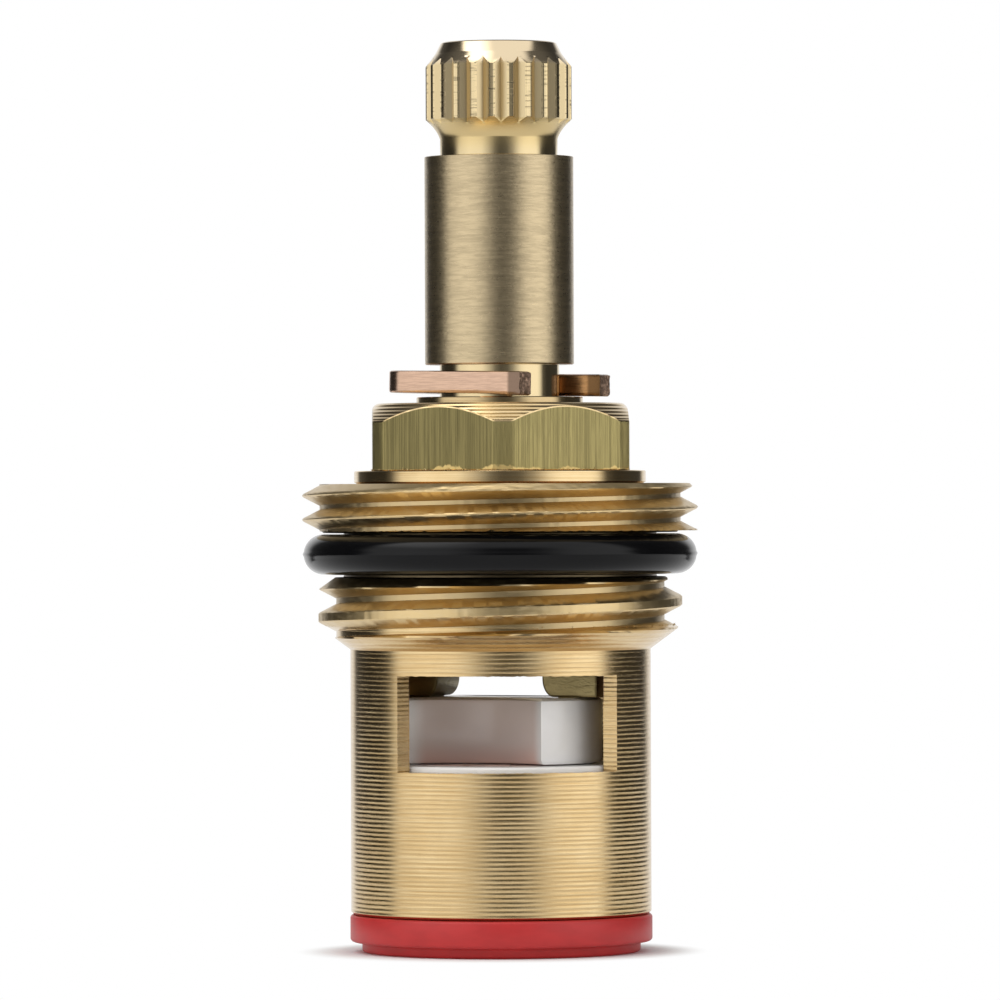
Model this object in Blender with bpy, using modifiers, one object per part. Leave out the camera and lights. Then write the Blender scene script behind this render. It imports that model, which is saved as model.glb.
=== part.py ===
"""Quarter-turn ceramic disc tap cartridge, with its spindle, discs, clip and seals as separate pieces.

Metres, +Z up. The origin is the middle of the sealing lip that the cartridge stands on, and the
spindle turns about the Z axis. It is drawn open, as it leaves the factory, and it closes clockwise
seen from above, through a quarter turn.
"""
import math

import bmesh
import bpy
from mathutils import Matrix, Vector

# Running and seating clearances
SEAT_GAP = 0.00005
RUNNING_GAP = 0.00006
STATIC_GAP = 0.0001

# Seat seal, from the lip up
SEAL_LIP_HEIGHT = 0.00059
SEAL_LIP_INSET = 0.00065
SEAL_FLANGE_THICKNESS = 0.00148
SEAL_FLANGE_OVERHANG = 0.00005
SEAL_PLUG_HEIGHT = 0.00418
SEAL_WALL = 0.0016
SEAL_LEDGE_WIDTH = 0.0007
SEAL_LEDGE_HEIGHT = 0.0016
SEAL_EDGE_ROUND = 0.00025
SUPPORT_RING_WALL = 0.0007
SUPPORT_RING_CHAMFER = 0.00015

# Ceramic discs
FIXED_DISC_THICKNESS = 0.00403
MOVING_DISC_THICKNESS = 0.0036
MOVING_DISC_EDGE_ROUND = 0.00025
FIXED_DISC_CHAMFER = 0.00012
SCOOP_HUB_RADIUS = 0.002
SCOOP_ANGLE = math.radians(90)
PORT_LAND = 0.0006
PORT_ANGLE = math.radians(62)
KEY_DEPTH = 0.0007
KEY_WIDTH = 0.002

# Fork and stop flange of the spindle
LUG_HEIGHT = 0.0016
LUG_LENGTH = 0.0032
LUG_WIDTH = 0.00334
LUG_OVERHANG = 0.0007
LUG_CORNER_WIDTH = 0.00066
LUG_CORNER_HEIGHT = 0.001
TONGUE_LENGTH = 0.0012
TONGUE_WIDTH = 0.0021
TONGUE_DEPTH = 0.0013
TONGUE_RIM = 0.0005
POCKET_FLOOR_GAP = 0.0002
FLANGE_THICKNESS = 0.002
STOP_RIB_DEPTH = 0.0018
WASHER_THICKNESS = 0.0005
WASHER_WIDTH = 0.00111
WING_GAP = 0.0004
RIB_ANGLE = math.radians(30)
STOP_GAP_ANGLE = math.radians(1)
TURN_ANGLE = math.radians(90)
WING_ANGLE = math.pi - RIB_ANGLE - TURN_ANGLE - 2 * STOP_GAP_ANGLE

# Valve body
FLOW_GAP = 0.0017
SKIRT_WALL = 0.00095
SKIRT_TOP_DROP = 0.00161
SKIRT_CHAMFER_HEIGHT = 0.0013
WINDOW_ANGLE = math.radians(92.6)
WINDOW_SILL_DROP = 0.00028
WINDOW_HEAD_DROP = 0.00036
LOWER_THREAD_STEP = 0.00175
LOWER_THREAD_LENGTH = 0.002
LOWER_THREAD_CHAMFER_WIDTH = 0.00092
LOWER_THREAD_CHAMFER_HEIGHT = 0.00066
UPPER_THREAD_STEP = 0.00087
UPPER_THREAD_LENGTH = 0.00259
UPPER_THREAD_CHAMFER = 0.00045
LOWER_THREAD_PITCH = 0.001814
LOWER_THREAD_DEPTH = 0.00098
UPPER_THREAD_PITCH = 0.00133
UPPER_THREAD_DEPTH = 0.00095
THREAD_ANGLE = math.radians(55)
THREAD_ROOT_SHARE = 1 / 6
THREAD_CUT_MARGIN = 0.00005
BODY_O_RING_SECTION = 0.0022
O_RING_GROOVE_WIDTH = 0.00253
O_RING_GROOVE_DEPTH = 0.00227
COLLAR_STEP = 0.00102
COLLAR_HEIGHT = 0.00071
HEX_ACROSS_FLATS = 0.014
HEX_HEIGHT = 0.00369
HEX_CORNER_TRIM = 0.00028
HEX_CHAMFER_INSET = 0.00021
HEX_CHAMFER_HEIGHT = 0.00101
BOSS_WALL = 0.00043
BOSS_HEIGHT = 0.00035
BODY_EDGE_CHAMFER = 0.0002

# Spindle, from the body up
SHAFT_RADIUS = 0.00409
SHAFT_LENGTH = 0.01141
SHAFT_EDGE_CHAMFER = 0.00012
CLIP_GROOVE_DEPTH = 0.0008
CLIP_GROOVE_BELOW = 0.00015
CLIP_GROOVE_SPARE = 0.00053
SPINDLE_O_RING_SECTION = 0.0013
SPINDLE_GROOVE_WIDTH = 0.0017
LOWER_SPINDLE_GROOVE_HEIGHT = 0.0055
SPINDLE_GROOVE_SPACING = 0.0034
NECK_LENGTH = 0.00097
NECK_DEPTH = 0.00077
HEAD_RADIUS = 0.004
HEAD_FOOT_HEIGHT = 0.00058
HEAD_FOOT_WIDTH = 0.00024
HEAD_SHOULDER_HEIGHT = 0.0005
SPLINE_LENGTH = 0.0029
SPLINE_DEPTH = 0.0003
SPLINE_TEETH = 24
SPLINE_GROOVE_ANGLE = math.radians(102)
HEAD_TOP_CONE_WIDTH = 0.00054
HEAD_TOP_CONE_HEIGHT = 0.00073
HEAD_TIP_CONE_WIDTH = 0.0003
HEAD_TIP_CONE_HEIGHT = 0.00059
SCREW_HOLE_RADIUS = 0.00165
SCREW_HOLE_DEPTH = 0.01
SCREW_HOLE_CHAMFER = 0.0003
DRILL_POINT_ANGLE = math.radians(118)

# Retaining clip
CLIP_THICKNESS = 0.00121
CLIP_ARM_WIDTH = 0.001
CLIP_BACK_RIM = 0.00111
CLIP_CORNER_RADIUS = 0.0015
CLIP_MOUTH_LENGTH = 0.00447
CLIP_MOUTH_PINCH = 0.00009
CLIP_TILT = math.radians(1.2)

# Directions about the Z axis, counted from +X
OPEN_ANGLE = math.radians(-22)
WINDOW_DIRECTION = math.radians(-86.5)
HEX_CORNER_DIRECTION = math.radians(-88.8)
SPLINE_GROOVE_DIRECTION = math.radians(-88)
CLIP_MOUTH_DIRECTION = math.radians(-36.5)
LOWER_THREAD_START = math.radians(-87.3)
UPPER_THREAD_START = math.radians(190.2)

# Facets
BODY_STEPS = 60
SPINDLE_STEPS = 48
SEAL_STEPS = 40
SMALL_RING_STEPS = 24
O_RING_SIDES = 10
ARC_STEP = math.radians(7.5)
CUT_MARGIN = 0.0008
WELD_DISTANCE = 1e-7
SHARP_ANGLE = math.radians(32)
FLAT_ANGLE = math.radians(0.5)

# Radii that follow from the sizes above
HUB_RADIUS = SHAFT_RADIUS + WASHER_WIDTH + 2 * STATIC_GAP
BORE_RADIUS = HUB_RADIUS + STATIC_GAP + STOP_RIB_DEPTH
MOVING_DISC_RADIUS = BORE_RADIUS - FLOW_GAP
SKIRT_RADIUS = BORE_RADIUS + SKIRT_WALL
LOWER_THREAD_RADIUS = SKIRT_RADIUS + LOWER_THREAD_STEP
UPPER_THREAD_RADIUS = LOWER_THREAD_RADIUS + UPPER_THREAD_STEP
GROOVE_ROOT_RADIUS = UPPER_THREAD_RADIUS - O_RING_GROOVE_DEPTH
SPINDLE_BORE_RADIUS = SHAFT_RADIUS + RUNNING_GAP
CLIP_NECK_RADIUS = SHAFT_RADIUS - CLIP_GROOVE_DEPTH
SPINDLE_GROOVE_ROOT = SPINDLE_BORE_RADIUS - SPINDLE_O_RING_SECTION - 2 * SEAT_GAP
LUG_OUTER = MOVING_DISC_RADIUS + LUG_OVERHANG
LUG_INNER = LUG_OUTER - LUG_LENGTH
TONGUE_OUTER = MOVING_DISC_RADIUS - TONGUE_RIM - STATIC_GAP
TONGUE_INNER = TONGUE_OUTER - TONGUE_LENGTH
SEAL_PLUG_RADIUS = BORE_RADIUS - STATIC_GAP
SEAL_BORE_RADIUS = SEAL_PLUG_RADIUS - SEAL_WALL
SEAL_HOLE_RADIUS = SEAL_BORE_RADIUS - SEAL_LEDGE_WIDTH
SUPPORT_RING_RADIUS = SEAL_BORE_RADIUS - STATIC_GAP
PORT_OUTER = MOVING_DISC_RADIUS - PORT_LAND
PORT_INNER = SCOOP_HUB_RADIUS + PORT_LAND

# Levels that follow from the sizes above, from the floor up
SEAL_FLANGE_TOP = SEAL_LIP_HEIGHT + SEAL_FLANGE_THICKNESS
SKIRT_BOTTOM = SEAL_FLANGE_TOP + SEAT_GAP
SEAL_TOP = SEAL_FLANGE_TOP + SEAL_PLUG_HEIGHT
FIXED_DISC_BOTTOM = SEAL_TOP + SEAT_GAP
FIXED_DISC_TOP = FIXED_DISC_BOTTOM + FIXED_DISC_THICKNESS
MOVING_DISC_BOTTOM = FIXED_DISC_TOP + SEAT_GAP
MOVING_DISC_TOP = MOVING_DISC_BOTTOM + MOVING_DISC_THICKNESS
LUG_BOTTOM = MOVING_DISC_TOP + SEAT_GAP
FLANGE_BOTTOM = LUG_BOTTOM + LUG_HEIGHT
FLANGE_TOP = FLANGE_BOTTOM + FLANGE_THICKNESS
WASHER_BOTTOM = FLANGE_TOP + SEAT_GAP
SHOULDER_LEVEL = WASHER_BOTTOM + WASHER_THICKNESS + SEAT_GAP
WINDOW_BOTTOM = FIXED_DISC_TOP - WINDOW_SILL_DROP
WINDOW_TOP = FLANGE_BOTTOM - WINDOW_HEAD_DROP
SKIRT_TOP = SHOULDER_LEVEL - SKIRT_TOP_DROP
LOWER_THREAD_BOTTOM = SKIRT_TOP + SKIRT_CHAMFER_HEIGHT
LOWER_THREAD_TOP = LOWER_THREAD_BOTTOM + LOWER_THREAD_LENGTH
GROOVE_BOTTOM = LOWER_THREAD_TOP + LOWER_THREAD_CHAMFER_HEIGHT
GROOVE_TOP = GROOVE_BOTTOM + O_RING_GROOVE_WIDTH
UPPER_THREAD_TOP = GROOVE_TOP + UPPER_THREAD_LENGTH
HEX_BOTTOM = UPPER_THREAD_TOP + COLLAR_HEIGHT
HEX_TOP = HEX_BOTTOM + HEX_HEIGHT
BOSS_TOP = HEX_TOP + BOSS_HEIGHT
CLIP_RISE = math.sin(CLIP_TILT) * (SPINDLE_BORE_RADIUS + BOSS_WALL)
CLIP_BOTTOM = BOSS_TOP + SEAT_GAP + CLIP_RISE
CLIP_GROOVE_BOTTOM = BOSS_TOP - CLIP_GROOVE_BELOW
CLIP_GROOVE_TOP = BOSS_TOP + SEAT_GAP + CLIP_THICKNESS + CLIP_GROOVE_SPARE
SHAFT_TOP = CLIP_GROOVE_TOP + SHAFT_LENGTH
HEAD_BOTTOM = SHAFT_TOP + NECK_LENGTH
LOWER_SPINDLE_GROOVE = SHOULDER_LEVEL + LOWER_SPINDLE_GROOVE_HEIGHT
UPPER_SPINDLE_GROOVE = LOWER_SPINDLE_GROOVE + SPINDLE_GROOVE_SPACING

# Base colour, roughness and metallic value of each material
FINISHES = {
    "turned_brass": ((0.62, 0.46, 0.22, 1.0), 0.3, 1.0),
    "spindle_brass": ((0.66, 0.53, 0.32, 1.0), 0.32, 1.0),
    "copper_alloy": ((0.60, 0.42, 0.32, 1.0), 0.35, 1.0),
    "black_rubber": ((0.02, 0.02, 0.02, 1.0), 0.35, 0.0),
    "red_rubber": ((0.52, 0.03, 0.04, 1.0), 0.45, 0.0),
    "white_ceramic": ((0.85, 0.84, 0.82, 1.0), 0.12, 0.0),
    "slide_plastic": ((0.80, 0.79, 0.74, 1.0), 0.45, 0.0),
    "stiff_plastic": ((0.12, 0.12, 0.13, 1.0), 0.5, 0.0),
}


def clear_scene():
    """Start from an empty scene."""
    for item in list(bpy.data.objects):
        bpy.data.objects.remove(item, do_unlink=True)


def new_collection(name):
    collection = bpy.data.collections.new(name)
    bpy.context.scene.collection.children.link(collection)
    return collection


def make_material(name):
    """Principled material from the finish table."""
    colour, roughness, metallic = FINISHES[name]
    material = bpy.data.materials.new(name)
    material.use_nodes = True
    shader = material.node_tree.nodes["Principled BSDF"]
    shader.inputs["Base Color"].default_value = colour
    shader.inputs["Roughness"].default_value = roughness
    shader.inputs["Metallic"].default_value = metallic
    material.diffuse_color = colour
    return material


def add_object(name, data, collection):
    item = bpy.data.objects.new(name, data)
    collection.objects.link(item)
    return item


def polar(radius, angle):
    """Point of the XY plane at a radius and an angle from +X."""
    return (radius * math.cos(angle), radius * math.sin(angle))


def arc(radius, start, end, centre=(0.0, 0.0)):
    """Points along an arc from one angle to another, both ends included."""
    count = max(2, round(abs(end - start) / ARC_STEP))
    points = []
    for index in range(count + 1):
        x, y = polar(radius, start + (end - start) * index / count)
        points.append((centre[0] + x, centre[1] + y))
    return points


def circle(radius, steps):
    """Closed outline of a circle."""
    return [polar(radius, 2 * math.pi * index / steps) for index in range(steps)]


def sector(inner, outer, direction, width):
    """Closed outline of a ring sector with radial sides."""
    start = direction - width / 2
    end = direction + width / 2
    return arc(outer, start, end) + arc(inner, end, start)


def turned(name, profile, steps, closed, collection):
    """Turn a profile of radius and height about Z: it runs down its outer side, top to bottom."""
    vertices = [(radius, 0.0, height) for radius, height in profile]
    edges = [(index, index + 1) for index in range(len(vertices) - 1)]
    if closed:
        edges.append((len(vertices) - 1, 0))
    mesh = bpy.data.meshes.new(name)
    mesh.from_pydata(vertices, edges, [])
    item = add_object(name, mesh, collection)
    screw = item.modifiers.new("turn", "SCREW")
    screw.axis = "Z"
    screw.angle = 2 * math.pi
    screw.steps = steps
    screw.render_steps = steps
    screw.use_merge_vertices = True
    screw.merge_threshold = WELD_DISTANCE
    return item


def evaluated_mesh(item):
    """Mesh of an object with its modifiers or curve settings applied."""
    bpy.context.view_layer.update()
    graph = bpy.context.evaluated_depsgraph_get()
    return bpy.data.meshes.new_from_object(item.evaluated_get(graph))


def weld(mesh):
    """Join the points of a mesh that lie together."""
    edit = bmesh.new()
    edit.from_mesh(mesh)
    bmesh.ops.remove_doubles(edit, verts=edit.verts, dist=WELD_DISTANCE)
    edit.to_mesh(mesh)
    edit.free()


def plate(name, outlines, bottom, top, collection):
    """Straight-sided piece over closed XY outlines: an outline inside another one is a hole."""
    curve = bpy.data.curves.new(name, "CURVE")
    curve.dimensions = "2D"
    curve.fill_mode = "BOTH"
    curve.extrude = (top - bottom) / 2
    for outline in outlines:
        spline = curve.splines.new("POLY")
        spline.points.add(len(outline) - 1)
        spline.use_cyclic_u = True
        for point, (x, y) in zip(spline.points, outline):
            point.co = (x, y, 0.0, 1.0)
    flat = add_object(name + "_outline", curve, collection)
    flat.location.z = (bottom + top) / 2
    mesh = evaluated_mesh(flat)
    weld(mesh)
    item = add_object(name, mesh, collection)
    item.matrix_world = flat.matrix_world
    bpy.data.objects.remove(flat)
    return item


def soften_rims(mesh, width, segments):
    """Round or chamfer the top and bottom rims of a straight-sided piece."""
    edit = bmesh.new()
    edit.from_mesh(mesh)
    bmesh.ops.dissolve_limit(edit, angle_limit=FLAT_ANGLE, verts=edit.verts, edges=edit.edges)
    rims = []
    for edge in edit.edges:
        level = abs(edge.verts[0].co.z - edge.verts[1].co.z) < WELD_DISTANCE
        if level and edge.calc_face_angle(0.0) > SHARP_ANGLE:
            rims.append(edge)
    bmesh.ops.bevel(edit, geom=rims, offset=width, segments=segments, profile=0.5, affect="EDGES")
    edit.to_mesh(mesh)
    edit.free()


def box(name, inner, outer, width, bottom, top, direction, collection):
    """Box that reaches from an inner to an outer radius, in a direction about Z."""
    bpy.ops.mesh.primitive_cube_add(size=1.0)
    item = bpy.context.object
    item.name = name
    length = outer - inner
    item.data.transform(Matrix.Diagonal((length, width, top - bottom, 1.0)))
    item.data.transform(Matrix.Translation(((inner + outer) / 2, 0.0, (bottom + top) / 2)))
    item.rotation_euler.z = direction
    for owner in item.users_collection:
        owner.objects.unlink(item)
    collection.objects.link(item)
    return item


def ring(name, centre_radius, section, height, steps, collection):
    """O-ring with its middle at a height."""
    bpy.ops.mesh.primitive_torus_add(
        major_radius=centre_radius,
        minor_radius=section / 2,
        major_segments=steps,
        minor_segments=O_RING_SIDES,
    )
    item = bpy.context.object
    item.name = name
    item.data.transform(Matrix.Translation((0.0, 0.0, height)))
    for owner in item.users_collection:
        owner.objects.unlink(item)
    collection.objects.link(item)
    return item


def combine(item, other, operation):
    """Cut a piece by another one, or join the other one to it."""
    other.hide_render = True
    other.display_type = "WIRE"
    boolean = item.modifiers.new(other.name, "BOOLEAN")
    boolean.operation = operation
    boolean.solver = "EXACT"
    boolean.object = other


def opposite(direction):
    """A direction and the one across the axis from it, with a suffix for each name."""
    return (("a", direction), ("b", direction + math.pi))


def make_valve_body(parts, cutters):
    """Turned brass body with its flats, windows, stop ribs and disc keys."""
    boss_radius = SPINDLE_BORE_RADIUS + BOSS_WALL
    blank_radius = HEX_ACROSS_FLATS / 2 / math.cos(math.pi / 6) - HEX_CORNER_TRIM
    chamfer_radius = HEX_ACROSS_FLATS / 2 - HEX_CHAMFER_INSET
    collar_radius = HEX_ACROSS_FLATS / 2 + COLLAR_STEP
    groove_lip_radius = LOWER_THREAD_RADIUS - LOWER_THREAD_CHAMFER_WIDTH
    edge = BODY_EDGE_CHAMFER
    outside = [
        (boss_radius, BOSS_TOP),
        (boss_radius, HEX_TOP),
        (chamfer_radius, HEX_TOP),
        (blank_radius, HEX_TOP - HEX_CHAMFER_HEIGHT),
        (blank_radius, HEX_BOTTOM),
        (collar_radius, HEX_BOTTOM),
        (collar_radius, UPPER_THREAD_TOP),
        (UPPER_THREAD_RADIUS - UPPER_THREAD_CHAMFER, UPPER_THREAD_TOP),
        (UPPER_THREAD_RADIUS, UPPER_THREAD_TOP - UPPER_THREAD_CHAMFER),
        (UPPER_THREAD_RADIUS, GROOVE_TOP),
        (GROOVE_ROOT_RADIUS, GROOVE_TOP),
        (GROOVE_ROOT_RADIUS, GROOVE_BOTTOM),
        (groove_lip_radius, GROOVE_BOTTOM),
        (LOWER_THREAD_RADIUS, LOWER_THREAD_TOP),
        (LOWER_THREAD_RADIUS, LOWER_THREAD_BOTTOM),
        (SKIRT_RADIUS, SKIRT_TOP),
        (SKIRT_RADIUS, SKIRT_BOTTOM + edge),
        (SKIRT_RADIUS - edge, SKIRT_BOTTOM),
    ]
    inside = [
        (BORE_RADIUS + edge, SKIRT_BOTTOM),
        (BORE_RADIUS, SKIRT_BOTTOM + edge),
        (BORE_RADIUS, SHOULDER_LEVEL),
        (SPINDLE_BORE_RADIUS + edge, SHOULDER_LEVEL),
        (SPINDLE_BORE_RADIUS, SHOULDER_LEVEL + edge),
        (SPINDLE_BORE_RADIUS, BOSS_TOP),
    ]
    body = turned("valve_body", outside + inside, BODY_STEPS, True, parts)
    combine(body, make_flats_cutter(cutters), "DIFFERENCE")
    lower_groove = make_thread_cutter("lower_thread", LOWER_THREAD_RADIUS, LOWER_THREAD_DEPTH,
                                      LOWER_THREAD_PITCH, LOWER_THREAD_BOTTOM, GROOVE_BOTTOM,
                                      LOWER_THREAD_START, cutters)
    combine(body, lower_groove, "DIFFERENCE")
    upper_groove = make_thread_cutter("upper_thread", UPPER_THREAD_RADIUS, UPPER_THREAD_DEPTH,
                                      UPPER_THREAD_PITCH, GROOVE_TOP, UPPER_THREAD_TOP,
                                      UPPER_THREAD_START, cutters)
    combine(body, upper_groove, "DIFFERENCE")
    for suffix, direction in opposite(WINDOW_DIRECTION):
        outline = sector(BORE_RADIUS - CUT_MARGIN, SKIRT_RADIUS + CUT_MARGIN, direction, WINDOW_ANGLE)
        window = plate("window_" + suffix, [outline], WINDOW_BOTTOM, WINDOW_TOP, cutters)
        combine(body, window, "DIFFERENCE")
    rib_direction = OPEN_ANGLE + WING_ANGLE / 2 + STOP_GAP_ANGLE + RIB_ANGLE / 2
    wall_bite = SKIRT_WALL / 2
    for suffix, direction in opposite(rib_direction):
        outline = sector(BORE_RADIUS - STOP_RIB_DEPTH, BORE_RADIUS + wall_bite, direction, RIB_ANGLE)
        rib = plate("stop_rib_" + suffix, [outline], FLANGE_BOTTOM, SHOULDER_LEVEL + wall_bite, cutters)
        combine(body, rib, "UNION")
    for suffix, direction in opposite(WINDOW_DIRECTION + math.pi / 2):
        key = box("disc_key_" + suffix, BORE_RADIUS - KEY_DEPTH, BORE_RADIUS + wall_bite, KEY_WIDTH,
                  FIXED_DISC_BOTTOM, WINDOW_BOTTOM, direction, cutters)
        combine(body, key, "UNION")
    return body


def make_thread_cutter(name, crest, depth, pitch, bottom, top, direction, cutters):
    """Groove of a right-hand thread, which starts a turn below it and runs out past its top."""
    root = crest - depth
    mouth = crest + THREAD_CUT_MARGIN
    half_root = pitch * THREAD_ROOT_SHARE / 2
    half_mouth = half_root + (mouth - root) * math.tan(THREAD_ANGLE / 2)
    profile = [(root, half_root), (mouth, half_mouth), (mouth, -half_mouth), (root, -half_root)]
    cutter = turned(name, profile, BODY_STEPS, True, cutters)
    helix = cutter.modifiers["turn"]
    helix.screw_offset = pitch
    helix.iterations = math.ceil((top + half_mouth - bottom) / pitch) + 1
    edit = bmesh.new()
    edit.from_mesh(evaluated_mesh(cutter))
    bmesh.ops.holes_fill(edit, edges=edit.edges, sides=len(profile))
    bmesh.ops.recalc_face_normals(edit, faces=edit.faces)
    cutter.modifiers.clear()
    edit.to_mesh(cutter.data)
    edit.free()
    cutter.rotation_euler.z = direction
    cutter.location.z = bottom - pitch
    return cutter


def make_flats_cutter(cutters):
    """Thick six-sided tube whose inside is the hexagon's flats."""
    bpy.ops.mesh.primitive_cylinder_add(
        vertices=6,
        radius=HEX_ACROSS_FLATS / 2 / math.cos(math.pi / 6),
        depth=HEX_HEIGHT,
        end_fill_type="NOTHING",
    )
    cutter = bpy.context.object
    cutter.name = "hexagon_flats"
    first_corner = math.atan2(cutter.data.vertices[0].co.y, cutter.data.vertices[0].co.x)
    cutter.data.transform(Matrix.Rotation(HEX_CORNER_DIRECTION - first_corner, 4, "Z"))
    cutter.data.transform(Matrix.Translation((0.0, 0.0, HEX_BOTTOM + HEX_HEIGHT / 2)))
    for owner in cutter.users_collection:
        owner.objects.unlink(cutter)
    cutters.objects.link(cutter)
    shell = cutter.modifiers.new("thickness", "SOLIDIFY")
    shell.thickness = CUT_MARGIN * 2
    shell.offset = 1.0
    shell.use_even_offset = True
    return cutter


def spindle_profile():
    """Radius and height of the spindle, from its screw hole out and down to the flange."""
    drill_tip = SCREW_HOLE_RADIUS / math.tan(DRILL_POINT_ANGLE / 2)
    foot_radius = HEAD_RADIUS - NECK_DEPTH
    shoulder_radius = foot_radius + HEAD_FOOT_WIDTH
    spline_bottom = HEAD_BOTTOM + HEAD_FOOT_HEIGHT + HEAD_SHOULDER_HEIGHT
    spline_top = spline_bottom + SPLINE_LENGTH
    cone_radius = HEAD_RADIUS - HEAD_TOP_CONE_WIDTH
    cone_top = spline_top + HEAD_TOP_CONE_HEIGHT
    tip_radius = cone_radius - HEAD_TIP_CONE_WIDTH
    tip = cone_top + HEAD_TIP_CONE_HEIGHT
    half_groove = SPINDLE_GROOVE_WIDTH / 2
    hole_bottom = tip - SCREW_HOLE_DEPTH
    points = [
        (0.0, hole_bottom - drill_tip),
        (SCREW_HOLE_RADIUS, hole_bottom),
        (SCREW_HOLE_RADIUS, tip - SCREW_HOLE_CHAMFER),
        (SCREW_HOLE_RADIUS + SCREW_HOLE_CHAMFER, tip),
        (tip_radius, tip),
        (cone_radius, cone_top),
        (HEAD_RADIUS, spline_top),
        (HEAD_RADIUS, spline_bottom),
        (shoulder_radius, HEAD_BOTTOM + HEAD_FOOT_HEIGHT),
        (foot_radius, HEAD_BOTTOM),
        (foot_radius, SHAFT_TOP),
        (SHAFT_RADIUS - SHAFT_EDGE_CHAMFER, SHAFT_TOP),
        (SHAFT_RADIUS, SHAFT_TOP - SHAFT_EDGE_CHAMFER),
        (SHAFT_RADIUS, CLIP_GROOVE_TOP),
        (CLIP_NECK_RADIUS, CLIP_GROOVE_TOP),
        (CLIP_NECK_RADIUS, CLIP_GROOVE_BOTTOM),
        (SHAFT_RADIUS, CLIP_GROOVE_BOTTOM),
    ]
    for middle in (UPPER_SPINDLE_GROOVE, LOWER_SPINDLE_GROOVE):
        points.append((SHAFT_RADIUS, middle + half_groove))
        points.append((SPINDLE_GROOVE_ROOT, middle + half_groove))
        points.append((SPINDLE_GROOVE_ROOT, middle - half_groove))
        points.append((SHAFT_RADIUS, middle - half_groove))
    flange_middle = (FLANGE_BOTTOM + FLANGE_TOP) / 2
    points.append((SHAFT_RADIUS, flange_middle))
    points.append((0.0, flange_middle))
    return points


def spline_groove_outlines():
    """One V-shaped outline for each groove between the teeth of the head."""
    root = HEAD_RADIUS - SPLINE_DEPTH
    reach = SPLINE_DEPTH * 1.5
    half_width = reach * math.tan(SPLINE_GROOVE_ANGLE / 2)
    outlines = []
    for index in range(SPLINE_TEETH):
        turn = Matrix.Rotation(SPLINE_GROOVE_DIRECTION + 2 * math.pi * index / SPLINE_TEETH, 3, "Z")
        corners = ((root, 0.0, 0.0), (root + reach, -half_width, 0.0), (root + reach, half_width, 0.0))
        outlines.append([(turn @ Vector(corner)).to_2d() for corner in corners])
    return outlines


def make_spindle(parts, cutters):
    """Splined shaft with its stop flange and the fork that drives the moving disc."""
    spindle = turned("spindle", spindle_profile(), SPINDLE_STEPS, False, parts)
    wing_radius = BORE_RADIUS - WING_GAP
    half_wing = WING_ANGLE / 2
    outline = []
    for _, direction in opposite(OPEN_ANGLE):
        outline += arc(wing_radius, direction - half_wing, direction + half_wing)
        outline += arc(HUB_RADIUS, direction + half_wing, direction + math.pi - half_wing)
    flange = plate("stop_flange", [outline], FLANGE_BOTTOM, FLANGE_TOP, cutters)
    combine(spindle, flange, "UNION")
    for suffix, direction in opposite(OPEN_ANGLE):
        lug = make_lug("fork_lug_" + suffix, direction, cutters)
        combine(spindle, lug, "UNION")
        tongue = box("drive_tongue_" + suffix, TONGUE_INNER, TONGUE_OUTER, TONGUE_WIDTH,
                     MOVING_DISC_TOP - TONGUE_DEPTH, LUG_BOTTOM + LUG_HEIGHT / 2, direction, cutters)
        combine(spindle, tongue, "UNION")
    grooves = plate("spline_grooves", spline_groove_outlines(), HEAD_BOTTOM,
                    HEAD_BOTTOM + 2 * SPLINE_LENGTH, cutters)
    combine(spindle, grooves, "DIFFERENCE")
    return spindle


def make_lug(name, direction, cutters):
    """One lug of the fork: a bar under the flange whose lower inner corner is rounded."""
    top = FLANGE_BOTTOM + FLANGE_THICKNESS / 4
    outline = [(LUG_OUTER, LUG_BOTTOM), (LUG_OUTER, top), (LUG_INNER, top)]
    for x, y in arc(1.0, math.pi, 1.5 * math.pi)[::2]:
        outline.append((LUG_INNER + LUG_CORNER_WIDTH * (1 + x), LUG_BOTTOM + LUG_CORNER_HEIGHT * (1 + y)))
    lug = plate(name, [outline], -LUG_WIDTH / 2, LUG_WIDTH / 2, cutters)
    stand_up = Matrix.Rotation(math.pi / 2, 4, "X")
    lug.matrix_world = Matrix.Rotation(direction, 4, "Z") @ stand_up
    return lug


def make_moving_disc(parts, cutters):
    """Upper disc: two sealing wings, two scooped water passages and pockets for the fork."""
    half_scoop = SCOOP_ANGLE / 2
    chord_radius = MOVING_DISC_RADIUS * math.cos(half_scoop)
    half_chord = MOVING_DISC_RADIUS * math.sin(half_scoop)
    depth = chord_radius - SCOOP_HUB_RADIUS
    scoop_radius = (half_chord ** 2 + depth ** 2) / (2 * depth)
    scoop_sweep = math.asin(half_chord / scoop_radius)
    scoop_centre = SCOOP_HUB_RADIUS + scoop_radius
    outline = []
    for _, direction in opposite(OPEN_ANGLE):
        wing_start = direction - math.pi / 2 + half_scoop
        wing_end = direction + math.pi / 2 - half_scoop
        outline += arc(MOVING_DISC_RADIUS, wing_start, wing_end)
        scoop = direction + math.pi / 2
        facing = scoop + math.pi
        hollow = arc(scoop_radius, facing + scoop_sweep, facing - scoop_sweep, polar(scoop_centre, scoop))
        outline += hollow[1:-1]
    disc = plate("moving_disc", [outline], MOVING_DISC_BOTTOM, MOVING_DISC_TOP, parts)
    soften_rims(disc.data, MOVING_DISC_EDGE_ROUND, 2)
    for suffix, direction in opposite(OPEN_ANGLE):
        pocket = box("drive_pocket_" + suffix, TONGUE_INNER - STATIC_GAP, TONGUE_OUTER + STATIC_GAP,
                     TONGUE_WIDTH + 2 * STATIC_GAP, MOVING_DISC_TOP - TONGUE_DEPTH - POCKET_FLOOR_GAP,
                     MOVING_DISC_TOP + CUT_MARGIN, direction, cutters)
        combine(disc, pocket, "DIFFERENCE")
    return disc


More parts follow.
